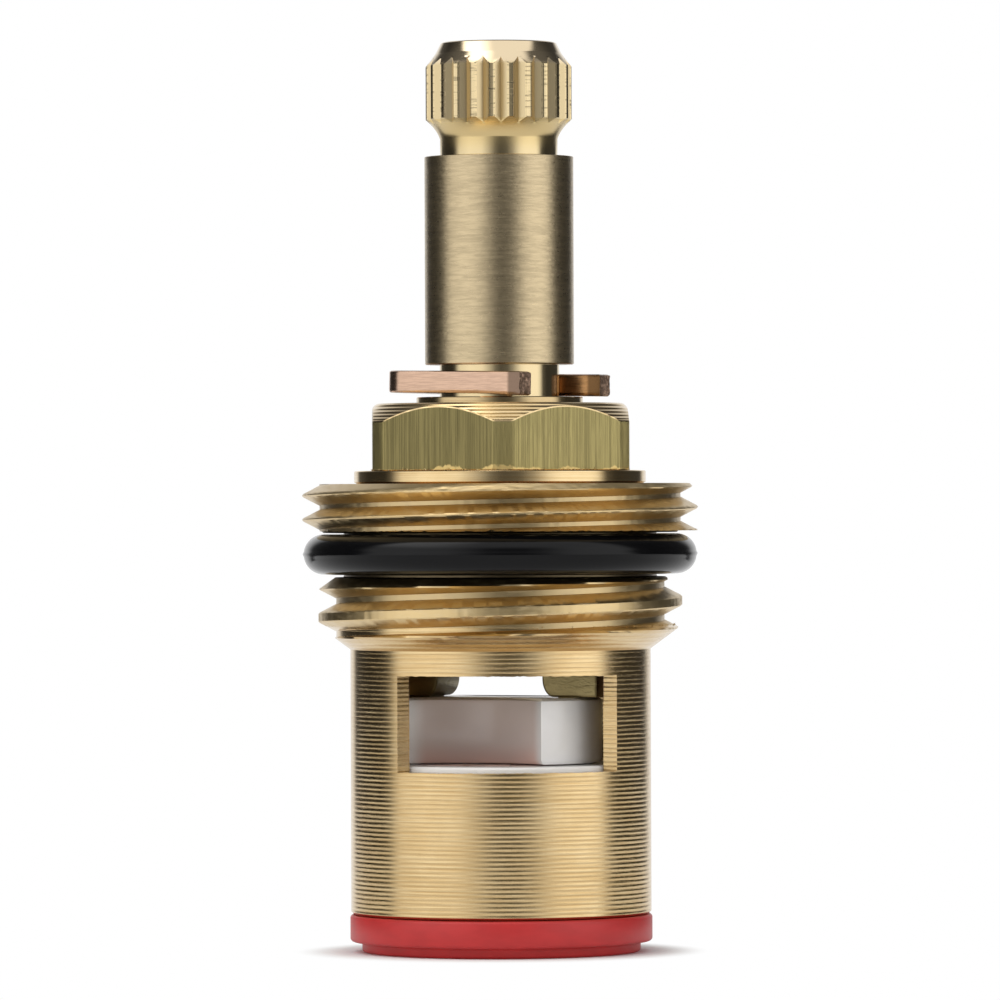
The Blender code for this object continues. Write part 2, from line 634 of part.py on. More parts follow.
def make_fixed_disc(parts, cutters):
    """Lower disc with its two ports and a notch for each key of the body."""
    outlines = [circle(BORE_RADIUS - STATIC_GAP, BODY_STEPS)]
    for _, direction in opposite(OPEN_ANGLE - math.pi / 2):
        outlines.append(sector(PORT_INNER, PORT_OUTER, direction, PORT_ANGLE))
    disc = plate("fixed_disc", outlines, FIXED_DISC_BOTTOM, FIXED_DISC_TOP, parts)
    soften_rims(disc.data, FIXED_DISC_CHAMFER, 1)
    for suffix, direction in opposite(WINDOW_DIRECTION + math.pi / 2):
        notch = box("key_notch_" + suffix, BORE_RADIUS - KEY_DEPTH - STATIC_GAP, BORE_RADIUS + CUT_MARGIN,
                    KEY_WIDTH + 2 * STATIC_GAP, FIXED_DISC_BOTTOM - CUT_MARGIN,
                    FIXED_DISC_TOP + CUT_MARGIN, direction, cutters)
        combine(disc, notch, "DIFFERENCE")
    return disc


def make_seat_seal(parts):
    """Rubber seal: lip, flange and plug, with a ledge inside for the support ring."""
    flange_radius = SKIRT_RADIUS + SEAL_FLANGE_OVERHANG
    lip_radius = flange_radius - SEAL_LIP_INSET
    soft = SEAL_EDGE_ROUND
    profile = [
        (SEAL_BORE_RADIUS, SEAL_TOP),
        (SEAL_PLUG_RADIUS - soft, SEAL_TOP),
        (SEAL_PLUG_RADIUS, SEAL_TOP - soft),
        (SEAL_PLUG_RADIUS, SEAL_FLANGE_TOP),
        (flange_radius - soft / 2, SEAL_FLANGE_TOP),
        (flange_radius, SEAL_FLANGE_TOP - soft / 2),
        (flange_radius, SEAL_LIP_HEIGHT + soft),
        (flange_radius - soft, SEAL_LIP_HEIGHT),
        (lip_radius, SEAL_LIP_HEIGHT),
        (lip_radius, soft),
        (lip_radius - soft, 0.0),
        (SEAL_HOLE_RADIUS + soft, 0.0),
        (SEAL_HOLE_RADIUS, soft),
        (SEAL_HOLE_RADIUS, SEAL_LEDGE_HEIGHT),
        (SEAL_BORE_RADIUS, SEAL_LEDGE_HEIGHT),
    ]
    return turned("seat_seal", profile, SEAL_STEPS, True, parts)


def make_support_ring(parts):
    """Stiff ring on the seal's ledge, just short of the fixed disc."""
    inner = SUPPORT_RING_RADIUS - SUPPORT_RING_WALL
    outer = SUPPORT_RING_RADIUS
    bottom = SEAL_LEDGE_HEIGHT + SEAT_GAP
    edge = SUPPORT_RING_CHAMFER
    profile = [
        (inner, SEAL_TOP),
        (outer - edge, SEAL_TOP),
        (outer, SEAL_TOP - edge),
        (outer, bottom + edge),
        (outer - edge, bottom),
        (inner, bottom),
    ]
    return turned("seal_support_ring", profile, SEAL_STEPS, True, parts)


def make_slide_washer(parts):
    """Low-friction washer between the spindle's flange and the body's inner shoulder."""
    inner = SHAFT_RADIUS + STATIC_GAP
    outer = inner + WASHER_WIDTH
    top = WASHER_BOTTOM + WASHER_THICKNESS
    profile = [(inner, top), (outer, top), (outer, WASHER_BOTTOM), (inner, WASHER_BOTTOM)]
    return turned("slide_washer", profile, SPINDLE_STEPS, True, parts)


def make_retaining_clip(parts):
    """Stamped horseshoe clip that snaps on the spindle's neck and lies askew on the boss."""
    seat = CLIP_NECK_RADIUS + RUNNING_GAP
    half_mouth = CLIP_NECK_RADIUS - CLIP_MOUTH_PINCH
    half_width = half_mouth + CLIP_ARM_WIDTH
    seat_angle = math.asin(half_mouth / seat)
    corner_x = CLIP_CORNER_RADIUS - SHAFT_RADIUS - CLIP_BACK_RIM
    corner_y = half_width - CLIP_CORNER_RADIUS
    outline = [(CLIP_MOUTH_LENGTH, half_width)]
    outline += arc(CLIP_CORNER_RADIUS, math.pi / 2, math.pi, (corner_x, corner_y))
    outline += arc(CLIP_CORNER_RADIUS, math.pi, 1.5 * math.pi, (corner_x, -corner_y))
    outline.append((CLIP_MOUTH_LENGTH, -half_width))
    outline.append((CLIP_MOUTH_LENGTH, -half_mouth))
    outline += arc(seat, 2 * math.pi - seat_angle, seat_angle)
    outline.append((CLIP_MOUTH_LENGTH, half_mouth))
    clip = plate("retaining_clip", [outline], 0.0, CLIP_THICKNESS, parts)
    lie = Matrix.Translation((0.0, 0.0, CLIP_BOTTOM + CLIP_THICKNESS / 2))
    lean = Matrix.Rotation(CLIP_TILT, 4, "Y")
    clip.matrix_world = lie @ lean @ Matrix.Rotation(CLIP_MOUTH_DIRECTION, 4, "Z")
    return clip


def make_o_rings(parts):
    """O-ring of the body, and the two that seal the spindle in its bore."""
    body_radius = GROOVE_ROOT_RADIUS + SEAT_GAP + BODY_O_RING_SECTION / 2
    body_height = (GROOVE_BOTTOM + GROOVE_TOP) / 2
    body_ring = ring("body_o_ring", body_radius, BODY_O_RING_SECTION, body_height, BODY_STEPS, parts)
    spindle_radius = SPINDLE_GROOVE_ROOT + SEAT_GAP + SPINDLE_O_RING_SECTION / 2
    upper = ring("spindle_o_ring_upper", spindle_radius, SPINDLE_O_RING_SECTION,
                 UPPER_SPINDLE_GROOVE, SMALL_RING_STEPS, parts)
    lower = ring("spindle_o_ring_lower", spindle_radius, SPINDLE_O_RING_SECTION,
                 LOWER_SPINDLE_GROOVE, SMALL_RING_STEPS, parts)
    return body_ring, upper, lower


def settle(item, material):
    """Apply a piece's modifiers, shade its round faces smooth and give it its material."""
    mesh = evaluated_mesh(item)
    weld(mesh)
    mesh.shade_smooth()
    mesh.set_sharp_from_angle(angle=SHARP_ANGLE)
    mesh.materials.clear()
    mesh.materials.append(material)
    item.modifiers.clear()
    item.data = mesh


def main():
    clear_scene()
    parts = new_collection("ceramic_disc_cartridge")
    cutters = new_collection("cutters")
    body_ring, upper_ring, lower_ring = make_o_rings(parts)
    spindle = make_spindle(parts, cutters)
    moving_disc = make_moving_disc(parts, cutters)
    clip = make_retaining_clip(parts)
    finishes = (
        (make_valve_body(parts, cutters), "turned_brass"),
        (body_ring, "black_rubber"),
        (spindle, "spindle_brass"),
        (clip, "copper_alloy"),
        (upper_ring, "black_rubber"),
        (lower_ring, "black_rubber"),
        (make_slide_washer(parts), "slide_plastic"),
        (moving_disc, "white_ceramic"),
        (make_fixed_disc(parts, cutters), "white_ceramic"),
        (make_seat_seal(parts), "red_rubber"),
        (make_support_ring(parts), "stiff_plastic"),
    )
    materials = {name: make_material(name) for name in FINISHES}
    for item, finish in finishes:
        settle(item, materials[finish])
    axis = add_object("spindle_axis", None, parts)
    for item in (spindle, clip, upper_ring, lower_ring, moving_disc):
        item.parent = axis


if __name__ == "__main__":
    main()
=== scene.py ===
"""Looks of a quarter-turn ceramic disc tap cartridge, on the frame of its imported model.

Metres, +Z up. Laid out as a Blender add-on: the sizes and colours that a user would change are
properties, each piece or group of like pieces has its own operator, and main() runs them in order.
"""
from math import asin, atan2, copysign, cos, hypot, pi, radians, sin, tan, tau

import bmesh
import bpy
from bpy.props import FloatProperty, FloatVectorProperty, IntProperty, PointerProperty
from mathutils import Matrix, Vector, noise


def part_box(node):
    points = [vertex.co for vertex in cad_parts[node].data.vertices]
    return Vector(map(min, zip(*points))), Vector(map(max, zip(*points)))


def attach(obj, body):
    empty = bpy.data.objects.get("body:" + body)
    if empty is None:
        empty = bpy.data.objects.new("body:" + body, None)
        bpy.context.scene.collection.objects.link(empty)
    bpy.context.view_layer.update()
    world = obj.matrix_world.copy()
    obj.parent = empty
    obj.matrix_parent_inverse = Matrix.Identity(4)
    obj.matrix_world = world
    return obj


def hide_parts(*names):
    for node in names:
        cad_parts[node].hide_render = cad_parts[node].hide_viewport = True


bl_info = {
    "name": "Ceramic disc tap cartridge",
    "version": (1, 0, 0),
    "blender": (4, 5, 0),
    "location": "View3D > Sidebar > Cartridge",
    "description": "Dresses the packed tap cartridge: turned brass, splined spindle, clip, discs and seals",
    "category": "Object",
}

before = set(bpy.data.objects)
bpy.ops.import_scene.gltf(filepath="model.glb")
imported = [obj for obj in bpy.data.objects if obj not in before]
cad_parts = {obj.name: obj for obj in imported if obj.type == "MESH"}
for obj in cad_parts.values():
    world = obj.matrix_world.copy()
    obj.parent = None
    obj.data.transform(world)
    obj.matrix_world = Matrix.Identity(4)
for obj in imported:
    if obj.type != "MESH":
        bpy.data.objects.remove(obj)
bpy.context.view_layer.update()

MM = 0.001

# Levels of the body, from the frame and up from the floor
SKIRT_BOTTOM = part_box("valve_body")[0][2]
BOSS_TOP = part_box("valve_body")[1][2]
WINDOW_BOTTOM = 10.05 * MM
WINDOW_TOP = 15.27 * MM
SKIRT_TOP = 16.62 * MM
LOWER_THREAD_BOTTOM = 17.92 * MM
LOWER_THREAD_TOP = 19.92 * MM
GROOVE_BOTTOM = 20.58 * MM
GROOVE_TOP = 23.11 * MM
UPPER_THREAD_TOP = 25.70 * MM
HEX_BOTTOM = 26.41 * MM
HEX_TOP = 30.10 * MM
SHOULDER_LEVEL = 18.23 * MM
THREAD_FINISH_BOTTOM = SKIRT_TOP + 1.25 * MM
FLANGE_BOTTOM = 15.63 * MM
FLANGE_TOP = 17.63 * MM

# Radii of the body
UPPER_THREAD_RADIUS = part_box("valve_body")[1][0]
SKIRT_RADIUS = 8.25 * MM
BORE_RADIUS = 7.3 * MM
LOWER_THREAD_RADIUS = 10.0 * MM
GROOVE_ROOT_RADIUS = 8.6 * MM
GROOVE_LIP_RADIUS = 9.08 * MM
LIP_RADIUS = 9.72 * MM
LIP_HEIGHT = 0.09 * MM
COLLAR_RADIUS = 8.02 * MM
BOSS_RADIUS = 4.58 * MM
SPINDLE_BORE_RADIUS = 4.15 * MM
HUB_RADIUS = 5.4 * MM
SKIRT_CHAMFER = 0.12 * MM
BORE_CHAMFER = 0.2 * MM
EDGE = 0.05 * MM
CREST_EDGE = 0.035 * MM

# Hexagon
HEX_HALF_FLATS = 7.0 * MM
HEX_CORNER_RADIUS = 7.8 * MM
HEX_CONE_RADIUS = 6.79 * MM
HEX_CONE_SLOPE = 1.0
HEX_CORNER_DIRECTION = radians(-88.8)

# Threads
UPPER_CHAMFER = 0.45 * MM
THREAD_FLANK = tan(radians(27.5))
THREAD_ROOT_SHARE = 1 / 6
CONE_MARKS = 0.19 * MM
# Depths below the crest over which the thread roots are painted darker: painted shade
SHADED_ROOT_DEPTH = 0.93 * MM
UNSHADED_FLANK_DEPTH = 0.85 * MM
LOWER_THREAD_START = radians(-87.3)
UPPER_THREAD_START = radians(190.2)

# Windows, stop ribs and disc keys
WINDOW_DIRECTION = radians(-86.5)
WINDOW_ANGLE = radians(92.6)
OPEN_ANGLE = radians(-22)
WING_ANGLE = radians(58)
RIB_ANGLE = radians(30)
STOP_GAP_ANGLE = radians(1)
STOP_RIB_DEPTH = 1.8 * MM
KEY_DEPTH = 0.7 * MM
KEY_WIDTH = 2.0 * MM
KEY_BOTTOM = 6.3 * MM
WALL_BITE = 0.475 * MM
WINDOW_ROWS = 40

# Spindle
SPINDLE_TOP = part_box("spindle")[1][2]
SHAFT_RADIUS = 4.09 * MM
CLIP_NECK_RADIUS = 3.29 * MM
CLIP_GROOVE_BOTTOM = 30.30 * MM
CLIP_GROOVE_TOP = 32.24 * MM
SHAFT_TOP = 43.65 * MM
NECK_RADIUS = 3.23 * MM
HEAD_BOTTOM = 44.62 * MM
HEAD_FOOT_PULL = (3.38 * MM, 45.14 * MM)
SPLINE_BOTTOM = 45.7 * MM
SPLINE_TOP = 48.6 * MM
HEAD_RADIUS = 4.0 * MM
SPLINE_ROOT_RADIUS = 3.7 * MM
SPLINE_ROOT_FLAT = 0.01 * MM
SPLINE_FLANK = tan(radians(51))
HEAD_CONE_RADIUS = 3.46 * MM
HEAD_CONE_TOP = 49.33 * MM
HEAD_TIP_RADIUS = 3.16 * MM
SPLINE_GROOVE_DIRECTION = radians(-88)
SCREW_HOLE_RADIUS = 1.65 * MM
SCREW_THREAD_DEPTH = 0.3 * MM
SCREW_THREAD_PITCH = 0.7 * MM
SCREW_HOLE_DEPTH = 10 * MM
SCREW_HOLE_TIP = 1.0 * MM
SPINDLE_O_RING_HEIGHTS = (27.13 * MM, 23.73 * MM)
SPINDLE_GROOVE_WIDTH = 1.7 * MM
SPINDLE_GROOVE_ROOT = 2.75 * MM
WING_RADIUS = 6.9 * MM
LUG_OUTER = 6.3 * MM
LUG_INNER = 3.1 * MM
LUG_BOTTOM = 14.03 * MM
LUG_WIDTH = 3.34 * MM
LUG_CORNER_WIDTH = 0.66 * MM
LUG_CORNER_HEIGHT = 1.0 * MM
TONGUE_INNER = 3.8 * MM
TONGUE_OUTER = 5.0 * MM
TONGUE_WIDTH = 2.1 * MM
TONGUE_BOTTOM = 12.68 * MM

# Moving disc
DISC_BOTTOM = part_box("moving_disc")[0][2]
DISC_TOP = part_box("moving_disc")[1][2]
DISC_RADIUS = 5.6 * MM
DISC_HUB_RADIUS = 2.0 * MM
DISC_EDGE_ROUND = 0.28 * MM
SCOOP_ANGLE = radians(90)
POCKET_GAP = 0.1 * MM

# Clip
CLIP_SEAT = 3.35 * MM
CLIP_HALF_MOUTH = 3.2 * MM
CLIP_HALF_WIDTH = 4.2 * MM
CLIP_BACK = 5.2 * MM
CLIP_CORNER_RADIUS = 1.5 * MM
CLIP_MOUTH_LENGTH = 4.47 * MM
CLIP_THICKNESS = 1.21 * MM
CLIP_BOTTOM = 30.596 * MM
CLIP_MOUTH_DIRECTION = radians(-36.5)
CLIP_DROOP = 0.12 * MM
CLIP_DROOP_START = 1.5 * MM
CLIP_RIM = 0.11 * MM
CLIP_TEAR = 0.09 * MM

# Seals
O_RING_HEIGHT = (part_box("body_o_ring")[0][2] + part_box("body_o_ring")[1][2]) / 2
O_RING_SECTION = 2.2 * MM
O_RING_FLASH = 0.05 * MM
O_RING_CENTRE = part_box("body_o_ring")[1][0] - O_RING_SECTION / 2 - O_RING_FLASH
SEAL_FLANGE_TOP = 2.07 * MM
SEAL_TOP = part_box("seat_seal")[1][2]
SEAL_FLANGE_RADIUS = 8.3 * MM
SEAL_LIP_RADIUS = 7.65 * MM
SEAL_LIP_HEIGHT = 0.59 * MM
SEAL_PLUG_RADIUS = 7.2 * MM
SEAL_BORE_RADIUS = 5.6 * MM
SEAL_HOLE_RADIUS = 4.9 * MM
SEAL_LEDGE_HEIGHT = 1.6 * MM
SUPPORT_RING_OUTER = 5.5 * MM
SUPPORT_RING_INNER = 4.8 * MM
SUPPORT_RING_BOTTOM = SEAL_LEDGE_HEIGHT + 0.05 * MM
SEAL_SOFTNESS = 0.12 * MM

SHARP_ANGLE = radians(32)
BODY_SHARP_ANGLE = radians(18)
SPINDLE_SHARP_ANGLE = radians(28)
DISC_SHARP_ANGLE = radians(38)
WELD = 1e-7
SECTOR_WELD = 2e-6
WHITE = (1.0, 1.0, 1.0, 1.0)


def length(label, description, default):
    """Property for a length in metres."""
    return FloatProperty(name=label, description=description, default=default, unit="LENGTH")


def slant(label, description, degrees):
    """Property for an angle, given in degrees."""
    return FloatProperty(name=label, description=description, default=radians(degrees), subtype="ANGLE")


def tone(label, description, default):
    """Property for a colour."""
    return FloatVectorProperty(name=label, description=description, default=default, subtype="COLOR", size=3)


class CartridgeSizes(bpy.types.PropertyGroup):
    """Sizes of the finer shapes."""

    columns: IntProperty(name="Facets", description="Facets round the body", default=360, min=90)
    lower_pitch: length("Lower pitch", "Pitch of the lower thread", 1.814 * MM)
    lower_depth: length("Lower depth", "Depth of the lower thread", 0.98 * MM)
    upper_pitch: length("Upper pitch", "Pitch of the upper thread", 1.33 * MM)
    upper_depth: length("Upper depth", "Depth of the upper thread", 0.95 * MM)
    raggedness: length("Raggedness", "Height of the burrs on cut edges", 0.035 * MM)
    teeth: IntProperty(name="Teeth", description="Teeth of the splined head", default=24, min=8)
    clip_tilt: slant("Clip tilt", "How far the clip leans", 1.2)
    turning_pitch: length("Turning marks", "Spacing of the skirt's turning lines", 0.246 * MM)


class CartridgeFinishes(bpy.types.PropertyGroup):
    """Base colours of the materials."""

    turned_brass: tone("Turned brass", "Skirt, threads and collar", (0.68, 0.53, 0.30))
    broached_brass: tone("Broached brass", "Flats of the hexagon", (0.215, 0.18, 0.076))
    spindle_brass: tone("Spindle brass", "Shaft and splined head", (0.53, 0.425, 0.262))
    clip_copper: tone("Clip", "Stamped copper alloy", (0.58, 0.39, 0.28))
    ceramic: tone("Ceramic", "Sealing discs", (0.82, 0.81, 0.80))
    black_rubber: tone("Black rubber", "O-rings", (0.003, 0.003, 0.0035))
    red_rubber: tone("Red rubber", "Seat seal", (0.50, 0.03, 0.03))


class CartridgeStage(bpy.types.PropertyGroup):
    """Camera and light."""

    distance: length("Distance", "From the camera to the spindle's axis", 0.429)
    height: length("Height", "Height of the camera", 0.0248)
    lens: FloatProperty(name="Lens", description="Focal length in millimetres", default=281.0)
    roll: slant("Roll", "Turn of the camera about its view", 0.2)


class Wire:
    """Output socket of a node: arithmetic on it adds Math nodes to its tree."""

    def __init__(self, nodes, socket):
        self.nodes = nodes
        self.socket = socket

    def output(self, name):
        """Another output of the same node."""
        return Wire(self.nodes, self.socket.node.outputs[name])

    def maths(self, operation, *values):
        return self.nodes.add("ShaderNodeMath", dict(enumerate(values)), operation=operation)

    def __add__(self, other):
        return self.maths("ADD", self, other)

    def __sub__(self, other):
        return self.maths("SUBTRACT", self, other)

    def __rsub__(self, other):
        return self.maths("SUBTRACT", other, self)

    def __mul__(self, other):
        return self.maths("MULTIPLY", self, other)

    def __truediv__(self, other):
        return self.maths("DIVIDE", self, other)

    __radd__ = __add__
    __rmul__ = __mul__

    def sine(self):
        return self.maths("SINE", self)

    def length_with(self, other):
        """Length of the sides of a right angle."""
        return self.maths("SQRT", self * self + other * other)

    def between(self, low, high, start=0.0, end=1.0):
        """Soft step: start below low, end above high."""
        sockets = {0: self, 1: low, 2: high, 3: start, 4: end}
        return self.nodes.add("ShaderNodeMapRange", sockets, interpolation_type="SMOOTHSTEP")

    def fading(self, low, high):
        """Soft step down: one below low, none above high."""
        return self.between(low, high, 1.0, 0.0)


class Nodes:
    """Node tree under construction."""

    def __init__(self, tree):
        self.tree = tree
        tree.nodes.clear()

    def add(self, kind, sockets=None, output=0, **settings):
        """New node with its settings made first and then its sockets set or linked: gives one output."""
        node = self.tree.nodes.new(kind)
        for name, value in settings.items():
            if name == "stops":
                set_stops(node.color_ramp, value)
            else:
                setattr(node, name, value)
        for name, value in (sockets or {}).items():
            if isinstance(value, Wire):
                self.tree.links.new(value.socket, node.inputs[name])
            else:
                node.inputs[name].default_value = value
        return Wire(self, node.outputs[output]) if len(node.outputs) else None

    def mix(self, factor, first, second):
        """Blend of two colours."""
        return self.add("ShaderNodeMix", {0: factor, 6: first, 7: second}, 2, data_type="RGBA")

    def mottled(self, mask, colour, dark, light):
        """Colour that a mask takes from one share of itself to another."""
        return self.mix(mask, tint(colour, dark), tint(colour, light))

    def layered(self, base, colour, *layers):
        """Base colour under layers, each a mask and then one share of a colour or a share for each part."""
        for mask, *shares in layers:
            base = self.mix(mask, base, tint(colour, *shares))
        return base


def set_stops(ramp, stops):
    """Give a colour ramp its stops: pairs of a position and a grey level."""
    while len(ramp.elements) > 1:
        ramp.elements.remove(ramp.elements[-1])
    for index, (position, level) in enumerate(stops):
        element = ramp.elements[0] if index == 0 else ramp.elements.new(position)
        element.position = position
        element.color = (level, level, level, 1.0)


def tint(colour, *shares):
    """Colour as four numbers, its three parts times three shares or all times the same one."""
    if len(shares) == 1:
        shares *= 3
    return (*(part * share for part, share in zip(colour, shares)), 1.0)


class Finish(Nodes):
    """Nodes of a new material with a Principled shader, whose patterns read Object coordinates."""

    def __init__(self, name):
        self.material = bpy.data.materials.new(name)
        self.material.use_nodes = True
        super().__init__(self.material.node_tree)
        self.place = self.add("ShaderNodeTexCoord", output="Object")
        self.x = self.add("ShaderNodeSeparateXYZ", {0: self.place})
        self.y = self.x.output("Y")
        self.z = self.x.output("Z")

    def reach(self):
        """Distance from the Z axis."""
        return self.x.length_with(self.y)

    def speckle(self, scale, detail=2.0, rise=1.0, roughness=0.5, distortion=0.0):
        """Noise of about so many features to a metre, and rise times as many along Z."""
        point = self.add("ShaderNodeMapping", {"Vector": self.place, "Scale": (1.0, 1.0, rise)})
        return self.add("ShaderNodeTexNoise", {
            "Vector": point, "Scale": scale, "Detail": detail, "Roughness": roughness, "Distortion": distortion,
        })

    def close(self, base, roughness, height, depth, metallic=1.0, specular=0.5):
        """Shader of a surface that rises by depth where height is one: gives the finished material."""
        normal = self.add("ShaderNodeBump", {"Height": height, "Distance": depth, "Strength": 1.0})
        shader = self.add("ShaderNodeBsdfPrincipled", {
            "Base Color": base, "Metallic": metallic, "Roughness": roughness, "Specular IOR Level": specular,
            "Normal": normal,
        })
        self.add("ShaderNodeOutputMaterial", {"Surface": shader})
        return self.material


def turned_brass(colour, pitch):
    """Brass with the lines of the turning tool round it: coarse on the skirt, fine above the threads."""
    finish = Finish("turned_brass")
    z = finish.z
    reach = finish.reach()
    fine = z.between(UPPER_THREAD_TOP - 0.1 * MM, UPPER_THREAD_TOP)
    coarse = 1.0 - fine * 0.75
    drift = finish.speckle(900.0, 2.0, 4.0)
    marks = finish.speckle(230.0, 3.0, 60.0, 0.6)
    hair = finish.speckle(700.0, 2.0, 80.0, 0.7)
    patches = finish.speckle(420.0, 3.0, 1.0, 0.55).between(0.35, 0.7)
    lines = (z * (tau / pitch) + drift * 0.8).sine()
    on_cone = z.between(HEX_TOP - 0.95 * MM, HEX_TOP - 0.9 * MM) * reach.between(BOSS_RADIUS, HEX_CONE_RADIUS)
    rings = (reach * (tau / CONE_MARKS)).sine() * on_cone
    wear = marks.between(0.3, 0.7) * 0.5 + patches * 0.25 + lines * 0.1 + fine * 0.2
    # The bore wall seen through the windows, above the disc and below the shoulder, is painted dark: painted
    # shade.
    painted_bore_shade = reach.fading(BORE_RADIUS + 0.02 * MM, BORE_RADIUS + 0.06 * MM)
    painted_bore_shade = painted_bore_shade * z.fading(SHOULDER_LEVEL + EDGE, SHOULDER_LEVEL + 2 * EDGE)
    painted_bore_shade = painted_bore_shade * z.between(DISC_TOP - 0.3 * MM, DISC_TOP)
    boss = z.between(HEX_TOP, HEX_TOP + EDGE) * reach.between(BOSS_RADIUS - EDGE, BOSS_RADIUS)
    base = finish.mix(wear, tint(colour, 0.80, 0.71, 0.58), tint(colour, 1.04))
    base = finish.layered(base, colour, (painted_bore_shade * 0.85, 0.2, 0.13, 0.15), (boss * 0.5, 0.55))
    height = (lines * 0.6 + marks * 0.9 + hair * 0.45) * coarse + rings * 1.3
    return finish.close(base, hair * 0.1 * coarse + 0.12, height, 0.0066 * MM)


def thread_brass(colour):
    """Brass of the cut threads, with chatter across the flanks and drag lines along them."""
    finish = Finish("thread_brass")
    z = finish.z
    chatter = finish.speckle(2300.0, 2.0, 0.12, 0.55)
    drag = finish.speckle(380.0, 3.0, 30.0, 0.65)
    scuff = finish.speckle(1300.0, 4.0, 3.0, 0.6).between(0.45, 0.7)
    # The groove behind the O-ring is painted near black: painted shadow, with grease.
    groove = z.between(GROOVE_BOTTOM - 0.03 * MM, GROOVE_BOTTOM)
    groove = groove * z.fading(GROOVE_TOP - 0.04 * MM, GROOVE_TOP - 0.01 * MM)
    on_upper = z.between(GROOVE_BOTTOM, GROOVE_TOP)
    from_crest = finish.reach() - on_upper * (UPPER_THREAD_RADIUS - LOWER_THREAD_RADIUS)
    # Thread roots are painted darker, fading out up the flanks: painted shade.
    root = from_crest.fading(LOWER_THREAD_RADIUS - SHADED_ROOT_DEPTH, LOWER_THREAD_RADIUS - UNSHADED_FLANK_DEPTH)
    base = finish.mix(scuff * 0.6 + drag * 0.3, tint(colour, 0.92, 0.88, 0.78), tint(colour, 1.0))
    base = finish.layered(base, colour, (groove, 0.05), (root * 0.4, 0.5))
    return finish.close(base, scuff * 0.1 + 0.3, chatter * 0.75 + drag * 0.8, 0.008 * MM)


def broached_brass(colour, fringe_colour):
    """Olive brass of the hexagon's flats: upright tool lines, and a bright torn fringe at the bottom; the flats
    and corners on the right are painted lighter, as painted light.
    """
    finish = Finish("broached_brass")
    streaks = finish.speckle(9500.0, 3.0, 0.01, 0.8)
    broad = finish.speckle(1300.0, 2.0, 0.03)
    grain = finish.speckle(5200.0, 2.0, 0.3, 0.6)
    torn = finish.speckle(2300.0, 4.0, 0.5, 0.75)
    wide = finish.speckle(420.0, 2.0, 0.2).between(0.42, 0.62, 0.12, 0.6)
    fringe = (finish.z - torn * wide * MM).fading(HEX_BOTTOM - 0.06 * MM, HEX_BOTTOM + 0.03 * MM)
    corner = finish.reach().between(HEX_CORNER_RADIUS - 0.04 * MM, HEX_CORNER_RADIUS - 0.01 * MM)
    # The turned corners on the right are painted very bright: a painted highlight.
    painted_highlight_side = finish.x.between(HEX_CORNER_RADIUS * 0.83, HEX_CORNER_RADIUS * 0.87)
    # Flats on the right are painted lighter than those on the left: painted light from the right.
    painted_light_right_flats = finish.x.between(-0.3 * MM, 0.3 * MM)
    lines = streaks.between(0.36, 0.62)
    base = finish.mottled(lines, colour, 0.7, 1.2)
    base = finish.layered(
        base, colour, (broad.between(0.5, 0.7) * 0.35, 1.3), (corner, 1.6), (painted_highlight_side * corner, 4.2),
    )
    base = finish.mix(painted_light_right_flats * (1.0 - corner) * 0.7, base, finish.mottled(lines, colour, 1.4, 2.3))
    base = finish.mix(fringe * 0.75, base, fringe_colour)
    return finish.close(base, streaks * 0.14 + 0.36, streaks * 1.2 + broad * 0.8 + grain * 0.3, 0.022 * MM)


def spindle_brass(colour):
    """Greyer satin brass of the shaft, with short wavy tool marks, polished at the head and neck."""
    finish = Finish("spindle_brass")
    z = finish.z
    above = z.between(SHAFT_TOP - 0.02 * MM, SHAFT_TOP + 0.02 * MM)
    head = above + z.fading(CLIP_GROOVE_TOP - 0.04 * MM, CLIP_GROOVE_TOP)
    # The foot of the head is painted amber: a painted reflection.
    foot = z.between(SHAFT_TOP, HEAD_BOTTOM) * z.fading(SPLINE_BOTTOM - 0.1 * MM, SPLINE_BOTTOM)
    # The tip is painted whiter and paler: a painted highlight from overhead.
    tip = z.between(SPLINE_TOP, SPLINE_TOP + 0.2 * MM)
    fork = z.fading(FLANGE_BOTTOM - 0.1 * MM, FLANGE_BOTTOM)
    waves = finish.speckle(700.0, 3.0, 8.5, 0.68, 0.6)
    fine = finish.speckle(2300.0, 3.0, 3.5, 0.7)
    scratches = finish.speckle(1500.0, 3.0, 2.2, 0.6, 1.2)
    on_land = finish.reach().between(HEAD_RADIUS - 0.06 * MM, HEAD_RADIUS - 0.02 * MM)
    nicks = finish.speckle(600.0, 3.0, 12.5, 0.6).between(0.52, 0.66) * above * on_land
    splined = z.between(SPLINE_BOTTOM - 0.3 * MM, SPLINE_BOTTOM) * (1.0 - on_land * 0.7)
    splined = splined * z.fading(SPLINE_TOP, SPLINE_TOP + 0.3 * MM)
    base = finish.layered(
        finish.mottled(waves.between(0.34, 0.66), colour, 0.80, 1.02), colour, (head, 1.17, 1.17, 1.1),
        (foot, 1.17, 1.12, 0.9), (tip, 1.2, 1.22, 1.32), (fork, 0.5, 0.5, 0.38), (nicks * 0.6, 0.3),
    )
    satin = fine * 0.12 * (1.0 - head) + 0.23 - head * 0.12
    height = (waves * 1.7 + fine * 1.1) * (1.0 - head * 0.93) - nicks * 0.6 + scratches * fork * 3.0
    return finish.close(base, satin + splined * 0.22 + foot * 0.14 + fork * 0.25, height, 0.011 * MM)


